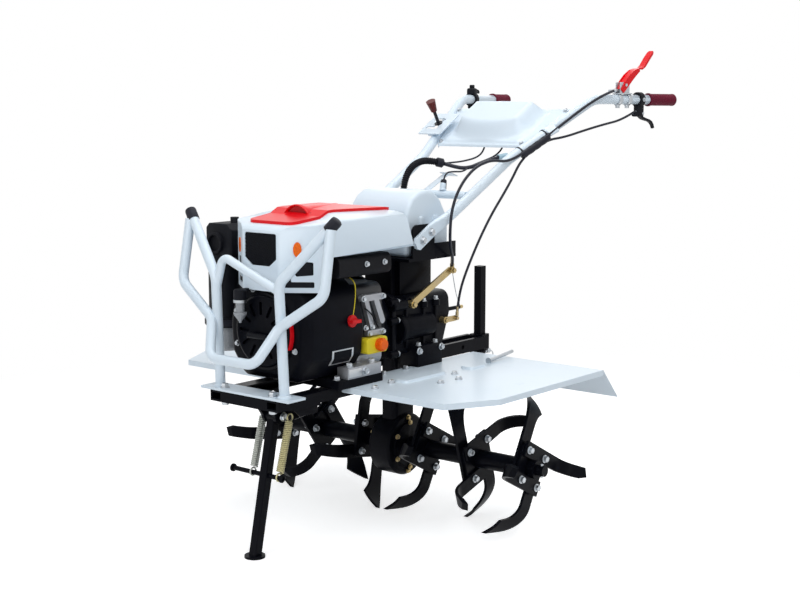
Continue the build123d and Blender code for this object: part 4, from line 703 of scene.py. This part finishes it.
mesh_wire = bmesh.new()
bmesh.ops.create_grid(mesh_wire, x_segments=36, y_segments=36, size=110,
                      matrix=Matrix.Translation((518.2, 0, 758)) @ Matrix.Rotation(math.pi / 2, 4, "Y")
                      @ Matrix.Rotation(math.pi / 4, 4, "Z"))
for side in sides:
    cut_off(mesh_wire, (0, side * 54, 0), left * side)
    cut_off(mesh_wire, (0, side * 54, 738), (0, side * 0.6, -0.8))
cut_off(mesh_wire, (0, 0, 801), up)
cut_off(mesh_wire, (0, 0, 719.5), -up)
bmesh.ops.wireframe(mesh_wire, faces=mesh_wire.faces[:], thickness=1.1, offset=0, use_replace=True,
                    use_boundary=True, use_even_offset=False)
piece("grille_mesh", mesh_wire, black_enamel, slot="black_plastic")

# Reflectors: orange ovals set on the nose's slanted corners.
# Clear moulded acrylic over tiny corner prisms, glued in.


def prism_orange(where):
    cells = where.node("TexVoronoi", {"feature": "F1"}, {"Vector": where, "Scale": 420.0})
    return {"Base Color": cells.step(0.1, 0.8).mix((0.66, 0.07, 0.0), (0.86, 0.16, 0.004)),
            "Roughness": where.noise(80, 3) * 0.12 + 0.1, "Normal": cells.bump(0.0006, 0.4)}


dress(finish("reflector_orange", "orange_plastic", prism_orange, Specular_IOR_Level=0.2, Coat_Weight=0.1),
      "reflectors")

# Air cleaner bowl and fuel filter bowl: cups under the intake and ahead of the starter.
# Smoked grey plastic; a black clamp holds the large one and a zinc ring the small one.


def smoked_cup(where):
    scuff = where.noise(240, 5)
    return {"Base Color": where.along(up).noise(40, 2).mix((0.20, 0.22, 0.24), (0.34, 0.36, 0.39)),
            "Roughness": scuff * 0.2 + 0.16, "Normal": scuff.bump(0.0002, 0.3)}


grey_plastic = finish("grey_plastic", "grey_plastic", smoked_cup, Coat_Weight=0.25)
dress(grey_plastic, "air_cleaner_bowl")
filter_at = Vector((546, -46, 630))
cup = bmesh.new()
turned(cup, [(-22, 0), (-22, 3), (-18, 4), (-3, 15), (0, 16.5), (4, 16.5), (5, 10.5), (30, 10.5), (31, 0)],
       filter_at - up * 28, up, 32)
piece("filter_bowl", cup, grey_plastic, "fuel_filter")
hanger = bmesh.new()
turned(hanger, [(0, 0), (0, 14), (2, 15.5), (30, 15.5), (32, 14), (32, 0)], filter_at, up, 32)
plate(hanger, (47, 12, 6), (528.5, -46, 660), 1.5)
piece("filter_hanger", hanger, black_plastic)
bands = bmesh.new()
turned(bands, [(-8, 51.5), (-8, 55), (-6, 56), (6, 56), (8, 55), (8, 51.5)], (400, -250, 547.5), up, 48)
piece("bowl_bands", bands, black_rubber)
filter_nut = bmesh.new()
turned(filter_nut, [(0, 15), (0, 16.2), (7, 16.2), (7, 15)], filter_at, up)
piece("filter_nut", filter_nut, bright_zinc)

# Fender bolts: five hex heads on the top of each pressed sheet fender.
# Steel, bright zinc plated, screwed through the sheet on flat washers.
bolts = bmesh.new()
for side in sides:
    for x, y in ((252, 187), (175, 284), (108, 290), (60, 240), (330, 200)):
        hex_bolt(bolts, (x, side * y, rail_top + 2.5), up, 13, 6)
piece("fender_bolts", bolts, bright_zinc)

# Battery box: a domed white cover over the battery on the handle bracket's tray, with two ribs each end.
# Blow moulded plastic, so every edge is rolled over.
base = rail_top + 296
outline = ((-95, 0), (85, 0), (85, 112), (76, 136), (58, 157), (32, 170), (0, 175), (-34, 168), (-62, 146),
           (-84, 112), (-95, 82))
loaf = raised([(x, -100, base + z) for x, z in outline], (0, 200, 0))
eased(loaf, [edge for edge in loaf.edges if edge.calc_face_angle(0) > 0.3], 13, 5, True)
for side in sides:
    for x in (-34, 26):
        plate(loaf, (16, 12, 102), (x, side * 99, base + 55), 4.5, 4)
piece("battery_cover", loaf, white_plastic, "battery_box", crease=40)

# Battery pan and post: the tray's turned-up sides and the square box post that carries it on the gearbox.
# Folded and welded plate under the same black enamel as the bracket.
pan_top = 742
post_low, post_top = 604, 700
pan = bmesh.new()
for side in sides:
    wall = ((-95, base), (-2.5, base), (-2.5, pan_top), (-95, pan_top))
    cut_plate(pan, [(x, side * 118, z) for x, z in wall], (0, side * 6, 0))
    cheek = ((-67, post_low), (66, post_low), (66, post_top), (-67, post_top))
    cut_plate(pan, [(x, side * 61, z) for x, z in cheek], (0, -side * 6, 0))
for x in (-67, 60):
    end = ((-55, post_low), (55, post_low), (55, post_top), (-55, post_top))
    cut_plate(pan, [(x, y, z) for y, z in end], (6, 0, 0))
piece("battery_pan", pan, black_enamel)

# Handlebars: bent tubes, each pressed flat at its low end where two bolts hold it to the bracket's ear.
# Drawn steel tube under white gloss enamel; the flat swells back to the round over a hand's breadth.


def round_loop(part, radius, place=Matrix(), segments=40):
    """A ring of points at a place, with its edges."""
    loop = bmesh.ops.create_circle(part, cap_ends=False, segments=segments, radius=radius, matrix=place)["verts"]
    return loop, list(dict.fromkeys(edge for vert in loop for edge in vert.link_edges))


pressed = ((-12, 9, 5, 0), (-3, 18, 5, 0), (62, 18, 5, 0), (76, 17.6, 6.4, 0.12), (94, 16.6, 9, 0.38),
           (116, 15.2, 11.8, 0.7), (138, 14.3, 13.7, 0.94), (156, 14.08, 14.08, 1))
flat_y = 129.3
bars = bmesh.new()
for side, node in ((1, "handlebar_left"), (-1, "handlebar_right")):
    foot = Vector((75, side * 138.6, base + 39))
    run = (Vector((-300, side * 152, base + 246)) - foot).normalized()
    tube = copied(node)
    cut_off(tube, foot + run * 150, -run)
    capped(tube)
    join(bars, tube)
    end = bmesh.new()
    loops = []
    turn = Matrix((run.cross(left).normalized(), left, run)).transposed().to_4x4()
    for step, half_high, half_thick, share in pressed:
        spot = foot + run * step
        spot.y += (side * flat_y - spot.y) * (1 - share)
        ring, edges = round_loop(end, half_high)
        for vert in ring:
            vert.co.y = max(-half_thick, min(half_thick, vert.co.y))
        bmesh.ops.transform(end, matrix=Matrix.Translation(spot) @ turn, verts=ring)
        loops.append(edges)
    loft(end, loops)
    join(bars, end)
piece("bar_tubes", bars, white_enamel, "handlebar_left", "handlebar_right", crease=36)

# Handlebar bolts: hex heads through the bars' flattened ends, and the console's four corner screws.
# Steel, bright zinc plated, on flat washers.
slope = Vector((-176, 0, 105)).normalized()
normal = left.cross(slope)
console_low = Vector((-363, 0, rail_top + 573))
bolts = bmesh.new()
for side in sides:
    for x, z in ((61, 754.7), (26, 774.03)):
        hex_bolt(bolts, (x, side * (flat_y + 5), z), left * side, 15, 7.5, 2.2)
    for along, half_y in ((14, 143), (190, 190)):
        hex_bolt(bolts, console_low + slope * along + normal * 3 + left * side * half_y, normal, 11, 5, 1.6)
piece("handle_bolts", bolts, bright_zinc)

# Console: a shallow tray cover between the bars with a soft hump over the wiring.
# Vacuum formed white sheet, its rim folded down, held by the four corner screws.
console_len = 204.94
low_half, high_half = 155, 204


def ease(low, high, at):
    """A soft step from 0 to 1 between two places."""
    share = min(max((at - low) / (high - low), 0), 1)
    return share * share * (3 - 2 * share)


tray = bmesh.new()
bmesh.ops.create_grid(tray, x_segments=56, y_segments=64, size=1)
for vert in tray.verts:
    along = (vert.co.x + 1) / 2 * console_len
    aside = vert.co.y * (low_half + (high_half - low_half) * along / console_len)
    crest = 16 + 40 * min(abs(aside) / 135, 1) ** 2
    hump = ease(crest - 8, crest + 52, along) * (1 - ease(168, 194, along)) * (1 - ease(92, 136, abs(aside)))
    brow = ease(8, 20, along) * (1 - ease(180, 196, along)) * (1 - ease(128, 138, abs(aside)))
    corner = 1 - 0.035 * ease(0.9, 1, abs(vert.co.y)) * (1 - ease(0, 14, along))
    height = 3 + 40 * hump + 5 * brow - 6 * (ease(0.97, 1, abs(vert.co.y)) + ease(0.96, 1, abs(vert.co.x)))
    vert.co = console_low + slope * along + normal * height + left * aside * corner
bmesh.ops.recalc_face_normals(tray, faces=tray.faces)
if max(tray.faces, key=lambda face: face.calc_center_median().z).normal.z < 0:
    bmesh.ops.reverse_faces(tray, faces=tray.faces)
bmesh.ops.solidify(tray, geom=tray.faces[:], thickness=2.6)
piece("console_cover", tray, white_enamel, "console", crease=60)

# Grips: sleeves pushed over the bars' ends, with a collar, close finger ribs and a rolled end.
# Moulded PVC rubber, dark red and matte.
hand_len = Vector((335, 72, 2)).length


def on_bar(side, step):
    """A place along a bar's hand end: the point, the bar's run and the way across it."""
    run = Vector((-335, side * 72, -2)).normalized()
    return Vector((-600, side * 236, rail_top + 706)) + run * step, run, Vector((72 * side, 335, 0)).normalized()


dark_red_rubber = finish("dark_red_rubber", "dark_red_rubber", coated(
    shades=((0.085, 0.002, 0.016), (0.150, 0.005, 0.026)), cloud=(25, 4), grain=(700, 3, 0.6),
    rough=(0.15, 0.1, 0.42), bump=(0.0003, 0.4)), Specular_IOR_Level=0.2)
profile = [(-115, 14.2), (-115, 18.6), (-113.5, 19.6), (-109, 19.6), (-107.5, 17)]
for rib in range(14):
    foot = -104 + rib * 6.6
    profile += [(foot, 16.4), (foot + 1.4, 17.6), (foot + 3.6, 17.6), (foot + 5, 16.4)]
profile += [(-9, 16.8), (-7, 18.2), (-3, 18.2), (-0.6, 16.4), (0.6, 12), (0.8, 0)]
sleeves = bmesh.new()
for side in sides:
    end, run, across = on_bar(side, hand_len)
    turned(sleeves, profile, end, run, 36)
piece("grip_sleeves", sleeves, dark_red_rubber, "grips", crease=50)

# Gear lever: a steel rod through the gate with a tapered knob.
# Black enamelled rod, the knob red-brown moulded plastic.
gate = Vector((-415, -184.2, rail_top + 632))


def knob_plastic(where):
    knob = where.along(normal).step(*((to_frame @ (gate + normal * reach)).dot(normal) for reach in (45, 46.5)))
    scuff = where.noise(300, 5)
    brown = where.noise(60, 3).mix((0.075, 0.010, 0.010), (0.135, 0.018, 0.015))
    return {"Base Color": knob.mix((0.014, 0.015, 0.019), brown), "Roughness": scuff * 0.2 + 0.22,
            "Normal": scuff.bump(0.0002, 0.3)}


dress(finish("knob_plastic", "black_plastic", knob_plastic, Specular_IOR_Level=0.25), "gear_lever")

# Clutch lever: a pressed channel lever, red, on a zinc bracket clamped to the left bar.
# Folded sheet dipped in red plastic; its bracket and clamp are bright zinc.
lever_at, bar_run, across = on_bar(1, 120)


def bent_strip(shape, at, run, side, stations):
    """A strip through (along, height, width, thickness) stations from a place on a bar."""
    strip(shape, [(at + run * along + up * height, width, thick)
                  for along, height, width, thick in stations], side)


lever = bmesh.new()
bent_strip(lever, lever_at, -bar_run, across, (
    (14, 30, 26, 3), (-4, 52, 26, 3), (-24, 72, 26, 3), (-44, 86, 25, 3), (-58, 90, 24, 4), (-72, 90, 23, 5),
    (-84, 98, 22, 6), (-100, 118, 22, 7), (-116, 136, 21, 7), (-121, 142, 15, 5)))
for side in sides:
    bent_strip(lever, lever_at + across * side * 12, -bar_run, across, (
        (14, 24, 2.5, 16), (-4, 45, 2.5, 20), (-24, 65, 2.5, 20), (-44, 80, 2.5, 16), (-58, 87, 2.5, 9)))
piece("red_lever", lever, red_plastic, "clutch_lever", crease=40)
bracket = bmesh.new()
seat = Matrix((bar_run, across, up)).transposed().to_4x4()
plate(bracket, (58, 26, 4), lever_at + up * 17, 1.2, turn=seat)
for side in sides:
    plate(bracket, (40, 3, 34), lever_at + across * side * 8.5 + up * 33, 1.2, turn=seat)
turned(bracket, [(-16, 0), (-16, 4.5), (-13, 4.5), (-13, 3), (13, 3), (13, 4.5), (16, 4.5), (16, 0)],
       lever_at + up * 42, across, 16)
for step in (-20, 20):
    turned(bracket, [(-7, 14.1), (-7, 16.4), (-6, 17), (6, 17), (7, 16.4), (7, 14.1), (-7, 14.1)],
           lever_at + bar_run * step, bar_run, 36)
    hex_bolt(bracket, lever_at + bar_run * step - up * 16, -up, 11)
turned(bracket, [(0, 0), (0, 4.5), (3, 6), (12, 6), (13, 5), (20, 5), (21, 4.2), (34, 4.2), (34, 0)],
       lever_at - bar_run * 22 + up * 26, -bar_run - up * 0.05, 16)
piece("lever_bracket", bracket, bright_zinc)

# Hand levers: a clamp ring, a boxed body and a curved blade under each bar, and a switch pod on the right one.
# Glass-filled black nylon; zinc plated pinch screws, pivot screws and cable adjusters.
handles = bmesh.new()
fittings = bmesh.new()
for side, step in ((1, 190), (-1, 70)):
    at, run, across = on_bar(side, step)
    seat = Matrix((run, across, run.cross(across))).transposed().to_4x4()
    turned(handles, [(-9, 14.1), (-9, 20), (-7.5, 22), (7.5, 22), (9, 20), (9, 14.1), (-9, 14.1)], at, run, 40)
    plate(handles, (26, 22, 36), at + run * 2 - up * 32, 5, 3, seat)
    plate(handles, (36, 18, 16), at - run * 4 - up * 42, 5, 3, seat)
    bent_strip(handles, at, run, across, ((4, -46, 13, 8), (16, -54, 13, 8), (30, -58, 12, 7), (44, -61, 11, 6.5),
                                          (54, -66, 11, 6.5), (61, -74, 10, 6), (65, -84, 9, 6)))
    if side < 0:
        plate(handles, (30, 26, 22), at + up * 24, 6, 3, seat)
        turned(handles, [(0, 0), (0, 7), (2, 8), (10, 8), (12, 6.5), (12, 0)], at + up * 33, up, 20)
        bent_strip(handles, at, run, across, ((10, 26, 14, 9), (22, 27, 15, 9), (34, 25, 16, 8), (44, 21, 12, 6)))
    outside = across * side
    hex_bolt(fittings, at + outside * 22, outside, 8, 4, 1.2)
    hex_bolt(fittings, at - up * 40 + run * 10 + outside * 6.5, outside, 8, 4, 1.2)
    turned(fittings, [(0, 0), (0, 4), (2, 5.4), (9, 5.4), (10, 4.4), (20, 4.4), (20, 0)],
           at - up * 38 - run * 2, -run, 14)
piece("hand_lever_bodies", handles, black_plastic, "hand_levers", crease=36)
piece("hand_lever_screws", fittings, bright_zinc)

# Control cables: a thick clutch cable and a thin reverse cable, taped together on the left bar.
# Black plastic sheath over wound steel, held at both ends.
bar_bend = Vector((-300, 152, rail_top + 542))
upper_leg = Vector((-300, 84, 164))
leg_run = upper_leg.normalized()
leg_out = (left - leg_run * leg_run.y).normalized()
leg_low = leg_run.cross(leg_out)
thick_cable, thin_cable = (4, 0), (3.5, 40)


def beside_bar(at, radius, low):
    """A point on the upper leg's outer side, low degrees under its middle."""
    away = leg_out * math.cos(math.radians(low)) + leg_low * math.sin(math.radians(low))
    return bar_bend + upper_leg * at + away * (14.3 + radius)


def over_tray(*points):
    """Points whose heights are taken from the battery tray."""
    return [Vector(point) + up * base for point in points]


sheath = finish("cable_sheath", "black_rubber", coated(
    shades=((0.006, 0.007, 0.013), (0.013, 0.015, 0.028)), cloud=(12, 3), grain=(500, 3), rough=(0.15, 0, 0.28),
    bump=(0.0002, 0.3)), Specular_IOR_Level=0.25)
cable("clutch_cable_sheath", [
    *over_tray((-664, 262, 434), (-610, 266, 424), (-545, 252, 396), (-475, 228, 352)),
    beside_bar(0.38, *thick_cable), beside_bar(0.12, *thick_cable),
    *over_tray((-262, 173, 240), (-198, 167, 248), (-136, 163, 234), (-86, 162, 204), (-46, 163, 164),
               (-18, 167, 116), (-14, 166, 64), (-34, 152, 24), (-64, 137, -5), (-88, 119, -24),
               (-103, 105.5, -39.3))], thick_cable[0], sheath, "clutch_cable")
cable("reverse_cable_sheath", [
    *over_tray((-762, 274, 372), (-700, 270, 350), (-620, 258, 338), (-545, 240, 322), (-475, 219, 304)),
    beside_bar(0.38, *thin_cable), beside_bar(0.1, *thin_cable),
    *over_tray((-290, 163, 180), (-215, 139, 76), (-150, 112, -66), (-131, 105, -136), (-130, 103, -178.4))],
    thin_cable[0], sheath, "reverse_cable")
tape = bmesh.new()
loops = []
for step in range(13):
    at = 0.1 + 0.3 * step / 12
    middle = (beside_bar(at, *thick_cable) + beside_bar(at, *thin_cable)) / 2
    swell = 1 + 0.06 * math.sin(step * 2.1)
    loops.append(round_loop(tape, 10.5 * swell, facing(middle, leg_run), 20)[1])
loft(tape, loops)
piece("cable_tape", tape, black_rubber, crease=60)

# Cable ties: straps pulled tight round the bar and its cables, and a white tape above them.
# Black nylon ties and white vinyl tape.


def strap(shape, first, last):
    """A band pulled tight round round members: each end lists (middle, radius) pairs."""
    part = bmesh.new()
    for middle, radius in (*first, *last):
        round_loop(part, radius, facing(middle, leg_run), 28)
    hull = bmesh.ops.convex_hull(part, input=part.verts[:])
    inside = [made for made in hull["geom_interior"] + hull["geom_unused"] if isinstance(made, bmesh.types.BMVert)]
    bmesh.ops.delete(part, geom=inside, context="VERTS")
    join(shape, part)


def round_bar(at, *cables):
    """The bar and its cables at a place, as a strap meets them."""
    return [(bar_bend + upper_leg * at, 15.2),
            *((beside_bar(at, radius, low), radius + 1.4) for radius, low in cables)]


ties = bmesh.new()
for at in (0.11, 0.39):
    strap(ties, round_bar(at, thick_cable, thin_cable), round_bar(at + 0.012, thick_cable, thin_cable))
piece("cable_ties", ties, black_rubber)
wrap = bmesh.new()
strap(wrap, round_bar(0.415, thick_cable), round_bar(0.50, (6, 0)))
piece("white_tape", wrap, white_plastic, crease=40)

# Clutch and reverse arms: flat levers on the gearbox's left side, the clutch cable's bare wire and its stop.
# Steel, yellow passivated; clevis, lock nuts and ferrules of the same finish, the wire bright zinc.
dress(yellow_passivate, "clutch_arm")
cable("clutch_wire", [(-104, 107, 652), (-116, 103, 622), (-150, 86, 580), (-186, 70, 551)], 1.1, bright_zinc)
clevis = bmesh.new()
turned(clevis, [(0, 0), (0, 5), (3, 6), (14, 6), (15, 4.6), (34, 4.6), (35, 3), (35, 0)], (-103, 105.5, 664),
       (0.24, 0.2, 0.95), 16)
hex_bolt(clevis, (-103, 109, rail_top + 247), left, 12, 6, 1.8)
hex_bolt(clevis, (62, 105, rail_top + 172), left, 14, 6, 2)
hex_bolt(clevis, (-82, 101, rail_top + 112), left, 12, 5, 1.6)
turned(clevis, [(0, 0), (0, 4.6), (12, 4.6), (13, 3.4), (26, 3.4), (26, 0)], (-130, 103, 530), (0, 0.05, 1), 14)
turned(clevis, [(0, 0), (0, 5.2), (14, 5.2), (15, 4), (15, 0)], (-186, 66, 545), -forward, 16)
piece("arm_fittings", clevis, yellow_passivate)
stop = bmesh.new()
turned(stop, [(0, 0), (0, 9), (6, 9), (7, 5.5), (76, 5.5), (76, 0)], (-112, 66, 545), -forward, 18)
piece("cable_stop", stop, black_enamel)

# Wiring hose: a corrugated conduit that rises from the battery box and bends back between the bars.
# Split black plastic, six millimetres from rib to rib.
hose_line = route("hose_line", over_tray((-54, -26, 155.8), (-62, -28, 190), (-88, -31, 222), (-130, -33, 240),
                                         (-176, -30, 242), (-209, -8, 233)), 0)
hose_line.data.resolution_u = 40
spots = [to_mm @ vert.co for vert in bpy.data.meshes.new_from_object(hose_line).vertices]
bpy.data.objects.remove(hose_line)
rib_pitch = 6
hose = bmesh.new()
loops = []
walked = 0.0
for index, spot in enumerate(spots):
    before = spots[max(index - 1, 0)]
    walked += (spot - before).length
    radius = 8.6 + 1.3 * math.sin(walked * math.tau / rib_pitch)
    place = facing(spot, spots[min(index + 1, len(spots) - 1)] - before)
    loops.append(round_loop(hose, radius, place, 16)[1])
loft(hose, loops)
piece("wiring_hose", hose, black_plastic, "wiring_loom", slot="black_rubber", crease=60)

# Wiring lead: a taped lead from the hose up under the console, with thin wires and a branch to the bulb holder.
# Copper wire in black sheath, with a rubber clip at the hose's end and a rubber boot on the bulb holder.
cable("wiring_lead", over_tray((-209, -8, 233), (-215, 22, 225), (-222, 58, 220), (-240, 90, 230),
                               (-274, 112, 245), (-322, 122, 253), (-370, 126, 256), (-398, 127, 272),
                               (-402, 127, 296)), 5.5, sheath)
clips = bmesh.new()
turned(clips, [(-9, 8.6), (-9, 12), (-8, 13), (8, 13), (9, 12), (9, 8.6)], spots[-8], spots[-1] - spots[-8], 24)
turned(clips, [(0, 0), (0, 6), (4, 8.5), (26, 8.5), (28, 7.4), (28, 0)], (-134, 52, 902), (0.1, 0, -1), 20)
piece("wiring_clips", clips, black_rubber)
for name, radius, points in (
        ("bulb_wire", 2.4, ((-224, 66, 222), (-206, 66, 212), (-168, 60, 214), (-138, 54, 212), (-134, 52, 192))),
        ("lead_wire_upper", 1.8, ((-330, 123, 256), (-356, 132, 262), (-392, 150, 282), (-424, 168, 300))),
        ("lead_wire_lower", 1.8, ((-330, 123, 252), (-360, 138, 255), (-400, 160, 272), (-432, 176, 294))),
        ("console_wire_left", 2.6, ((-412, 60, 302), (-404, 60, 276), (-380, 50, 250), (-330, 40, 236),
                                    (-262, 50, 226), (-226, 62, 220))),
        ("console_wire_right", 2.6, ((-400, 0, 296), (-392, 2, 270), (-356, 6, 246), (-290, 0, 236),
                                     (-240, -4, 234), (-209, -8, 233)))):
    cable(name, over_tray(*points), radius, sheath)

# Bulb holder, sleeve and bracket: small fittings on the wiring between the bars.
# A white socket that lies on the cross tube, a pale blue sleeve on the lead and a white painted bracket.
socket = bmesh.new()
turned(socket, [(0, 0), (0, 7.6), (2, 8.6), (16, 8.6), (17, 9.8), (20, 9.8), (21, 8.8), (21, 0)], (-132, 52, 893),
       (0.1, 0, -1), 24)
piece("bulb_socket", socket, white_plastic)
sleeve = bmesh.new()
turned(sleeve, [(-17, 5.4), (-17, 7.2), (-15, 7.6), (15, 7.6), (17, 7.2), (17, 5.4)],
       (-312, 120.5, base + 252.5), (-48, 9, 6), 20)
piece("lead_sleeve", sleeve, finish("blue_tube", "grey_plastic", coated(
    shades=((0.28, 0.44, 0.54), (0.42, 0.58, 0.66)), cloud=(50, 3), grain=(300, 4), rough=(0.2, 0, 0.3),
    bump=(0.0002, 0.3))))
flag = bmesh.new()
for size, at, tilt in (((96, 22, 3), (-176, -6, base + 182.5), 0.42), ((34, 40, 3), (-232, -6, base + 202), -0.3)):
    plate(flag, size, at, 1.2, turn=Matrix.Rotation(tilt, 4, "Y"))
piece("wiring_bracket", flag, white_enamel)

# Throttle cable: from the right hand lever round the bar's outer side to the console's underside.
# Same black sheath as the other cables.
cable("throttle_cable", over_tray((-648, -248, 372), (-600, -246, 378), (-540, -244, 370), (-484, -230, 338),
                                  (-442, -216, 306), (-424, -190, 286), (-410, -154, 284), (-404, -130, 298)),
      3, sheath)

# Hitch pins: a ringed pin through the depth bar's socket, and the drawbar's zinc rod by the left fender.
# Bright zinc, dropped in by hand and kept by its ring.
pins = bmesh.new()
turned(pins, [(-32, 0), (-32, 4), (-31, 5), (30, 5), (31, 7), (36, 7), (37, 6), (37, 0)], (-376, 0, 392), left, 18)
wire_ring(pins, 1.6, 13, (-376, 35, 380), (0.5, 1, 0), 28)
turned(pins, [(-4, 0), (-4, 9), (-2, 9), (-2, 5), (118, 5), (120, 4), (120, 0)], (-120, 220, 421),
       (-0.99, -0.06, 0.07), 18)
piece("hitch_pins", pins, bright_zinc)

# Studio: a plain pale floor, soft lamps at a plain level and the photograph's viewpoint.
# None of it is part of the machine.


def seen_straight(tree):
    """1 where a ray comes from the camera, a mirror or glass, and 0 for the light that falls on things."""
    start = Tone(tree)
    camera, glossy, through = (start.node("LightPath", None, None, "Is %s Ray" % kind)
                               for kind in ("Camera", "Glossy", "Transmission"))
    return start.math("MINIMUM", camera + glossy + through, 1.0)


ground = bmesh.new()
bmesh.ops.create_grid(ground, x_segments=1, y_segments=1, size=30)
floor_mesh = bpy.data.meshes.new("floor")
ground.to_mesh(floor_mesh)
ground.free()
floor = placed("floor", floor_mesh)
floor.location.z = -0.0005
floor_paint = bpy.data.materials.new("floor_paint")
floor_paint.use_nodes = True
tree = floor_paint.node_tree
tree.nodes.remove(tree.nodes["Principled BSDF"])
seen = seen_straight(tree)
where = seen.node("TexCoord", None, None, "Object")
matt = seen.node("BsdfDiffuse", None, {"Color": where.noise(30, 4).mix((0.86, 0.86, 0.86), (0.9, 0.9, 0.9))})
glow = seen.node("Emission", None, {"Color": (1, 1, 1, 1), "Strength": seen * 0.6})
lit = seen.node("AddShader", None, {0: matt, 1: glow})
white = seen.node("Emission", None, {"Color": (1, 1, 1, 1), "Strength": 1.0})
far = seen.node("VectorMath", {"operation": "LENGTH"}, {0: where}, "Value").step(1.1, 2.4)
cover = seen.node("MixShader", None, {0: far * seen, 1: lit, 2: white})
tree.links.new(cover.out, tree.nodes["Material Output"].inputs["Surface"])
floor_mesh.materials.append(floor_paint)

world = bpy.data.worlds.new("studio")
bpy.context.scene.world = world
world.use_nodes = True
tree = world.node_tree
sky = tree.nodes["Background"].inputs
tree.links.new((seen_straight(tree) * 0.68 + 0.32).out, sky["Strength"])
sky["Color"].default_value = (1, 1, 1, 1)


def aimed(made, at, gaze):
    """Stand a lamp or the camera at a point, looking along a direction."""
    made.location = at
    made.rotation_euler = gaze.to_track_quat("-Z", "Y").to_euler()


for name, at, aim_z, size, power in (("key", (1.6, 3.0, 3.2), 0.6, 2.2, 50),
                                     ("front", (3.6, 0.2, 2.0), 0.6, 2.0, 32),
                                     ("top", (0, 0, 4.0), 0.5, 3.0, 72),
                                     ("rear", (-3.0, -2.0, 2.6), 0.6, 2.0, 16)):
    light = bpy.data.lights.new(name, "AREA")
    light.size = size
    light.energy = power
    aimed(placed(name, light), at, up * aim_z - Vector(at))

eye = bpy.data.cameras.new("eye")
eye.lens = 62.64
eye.sensor_width = 36
viewer = placed("viewer", eye)
heading = math.radians(39.494)
pitch = math.radians(8.233)
aimed(viewer, (2.8806 + axle_x, 2.3816, 1.12), Vector((
    -math.cos(heading) * math.cos(pitch), -math.sin(heading) * math.cos(pitch), -math.sin(pitch))))
bpy.context.scene.camera = viewer
bpy.context.scene.view_settings.view_transform = "Standard"
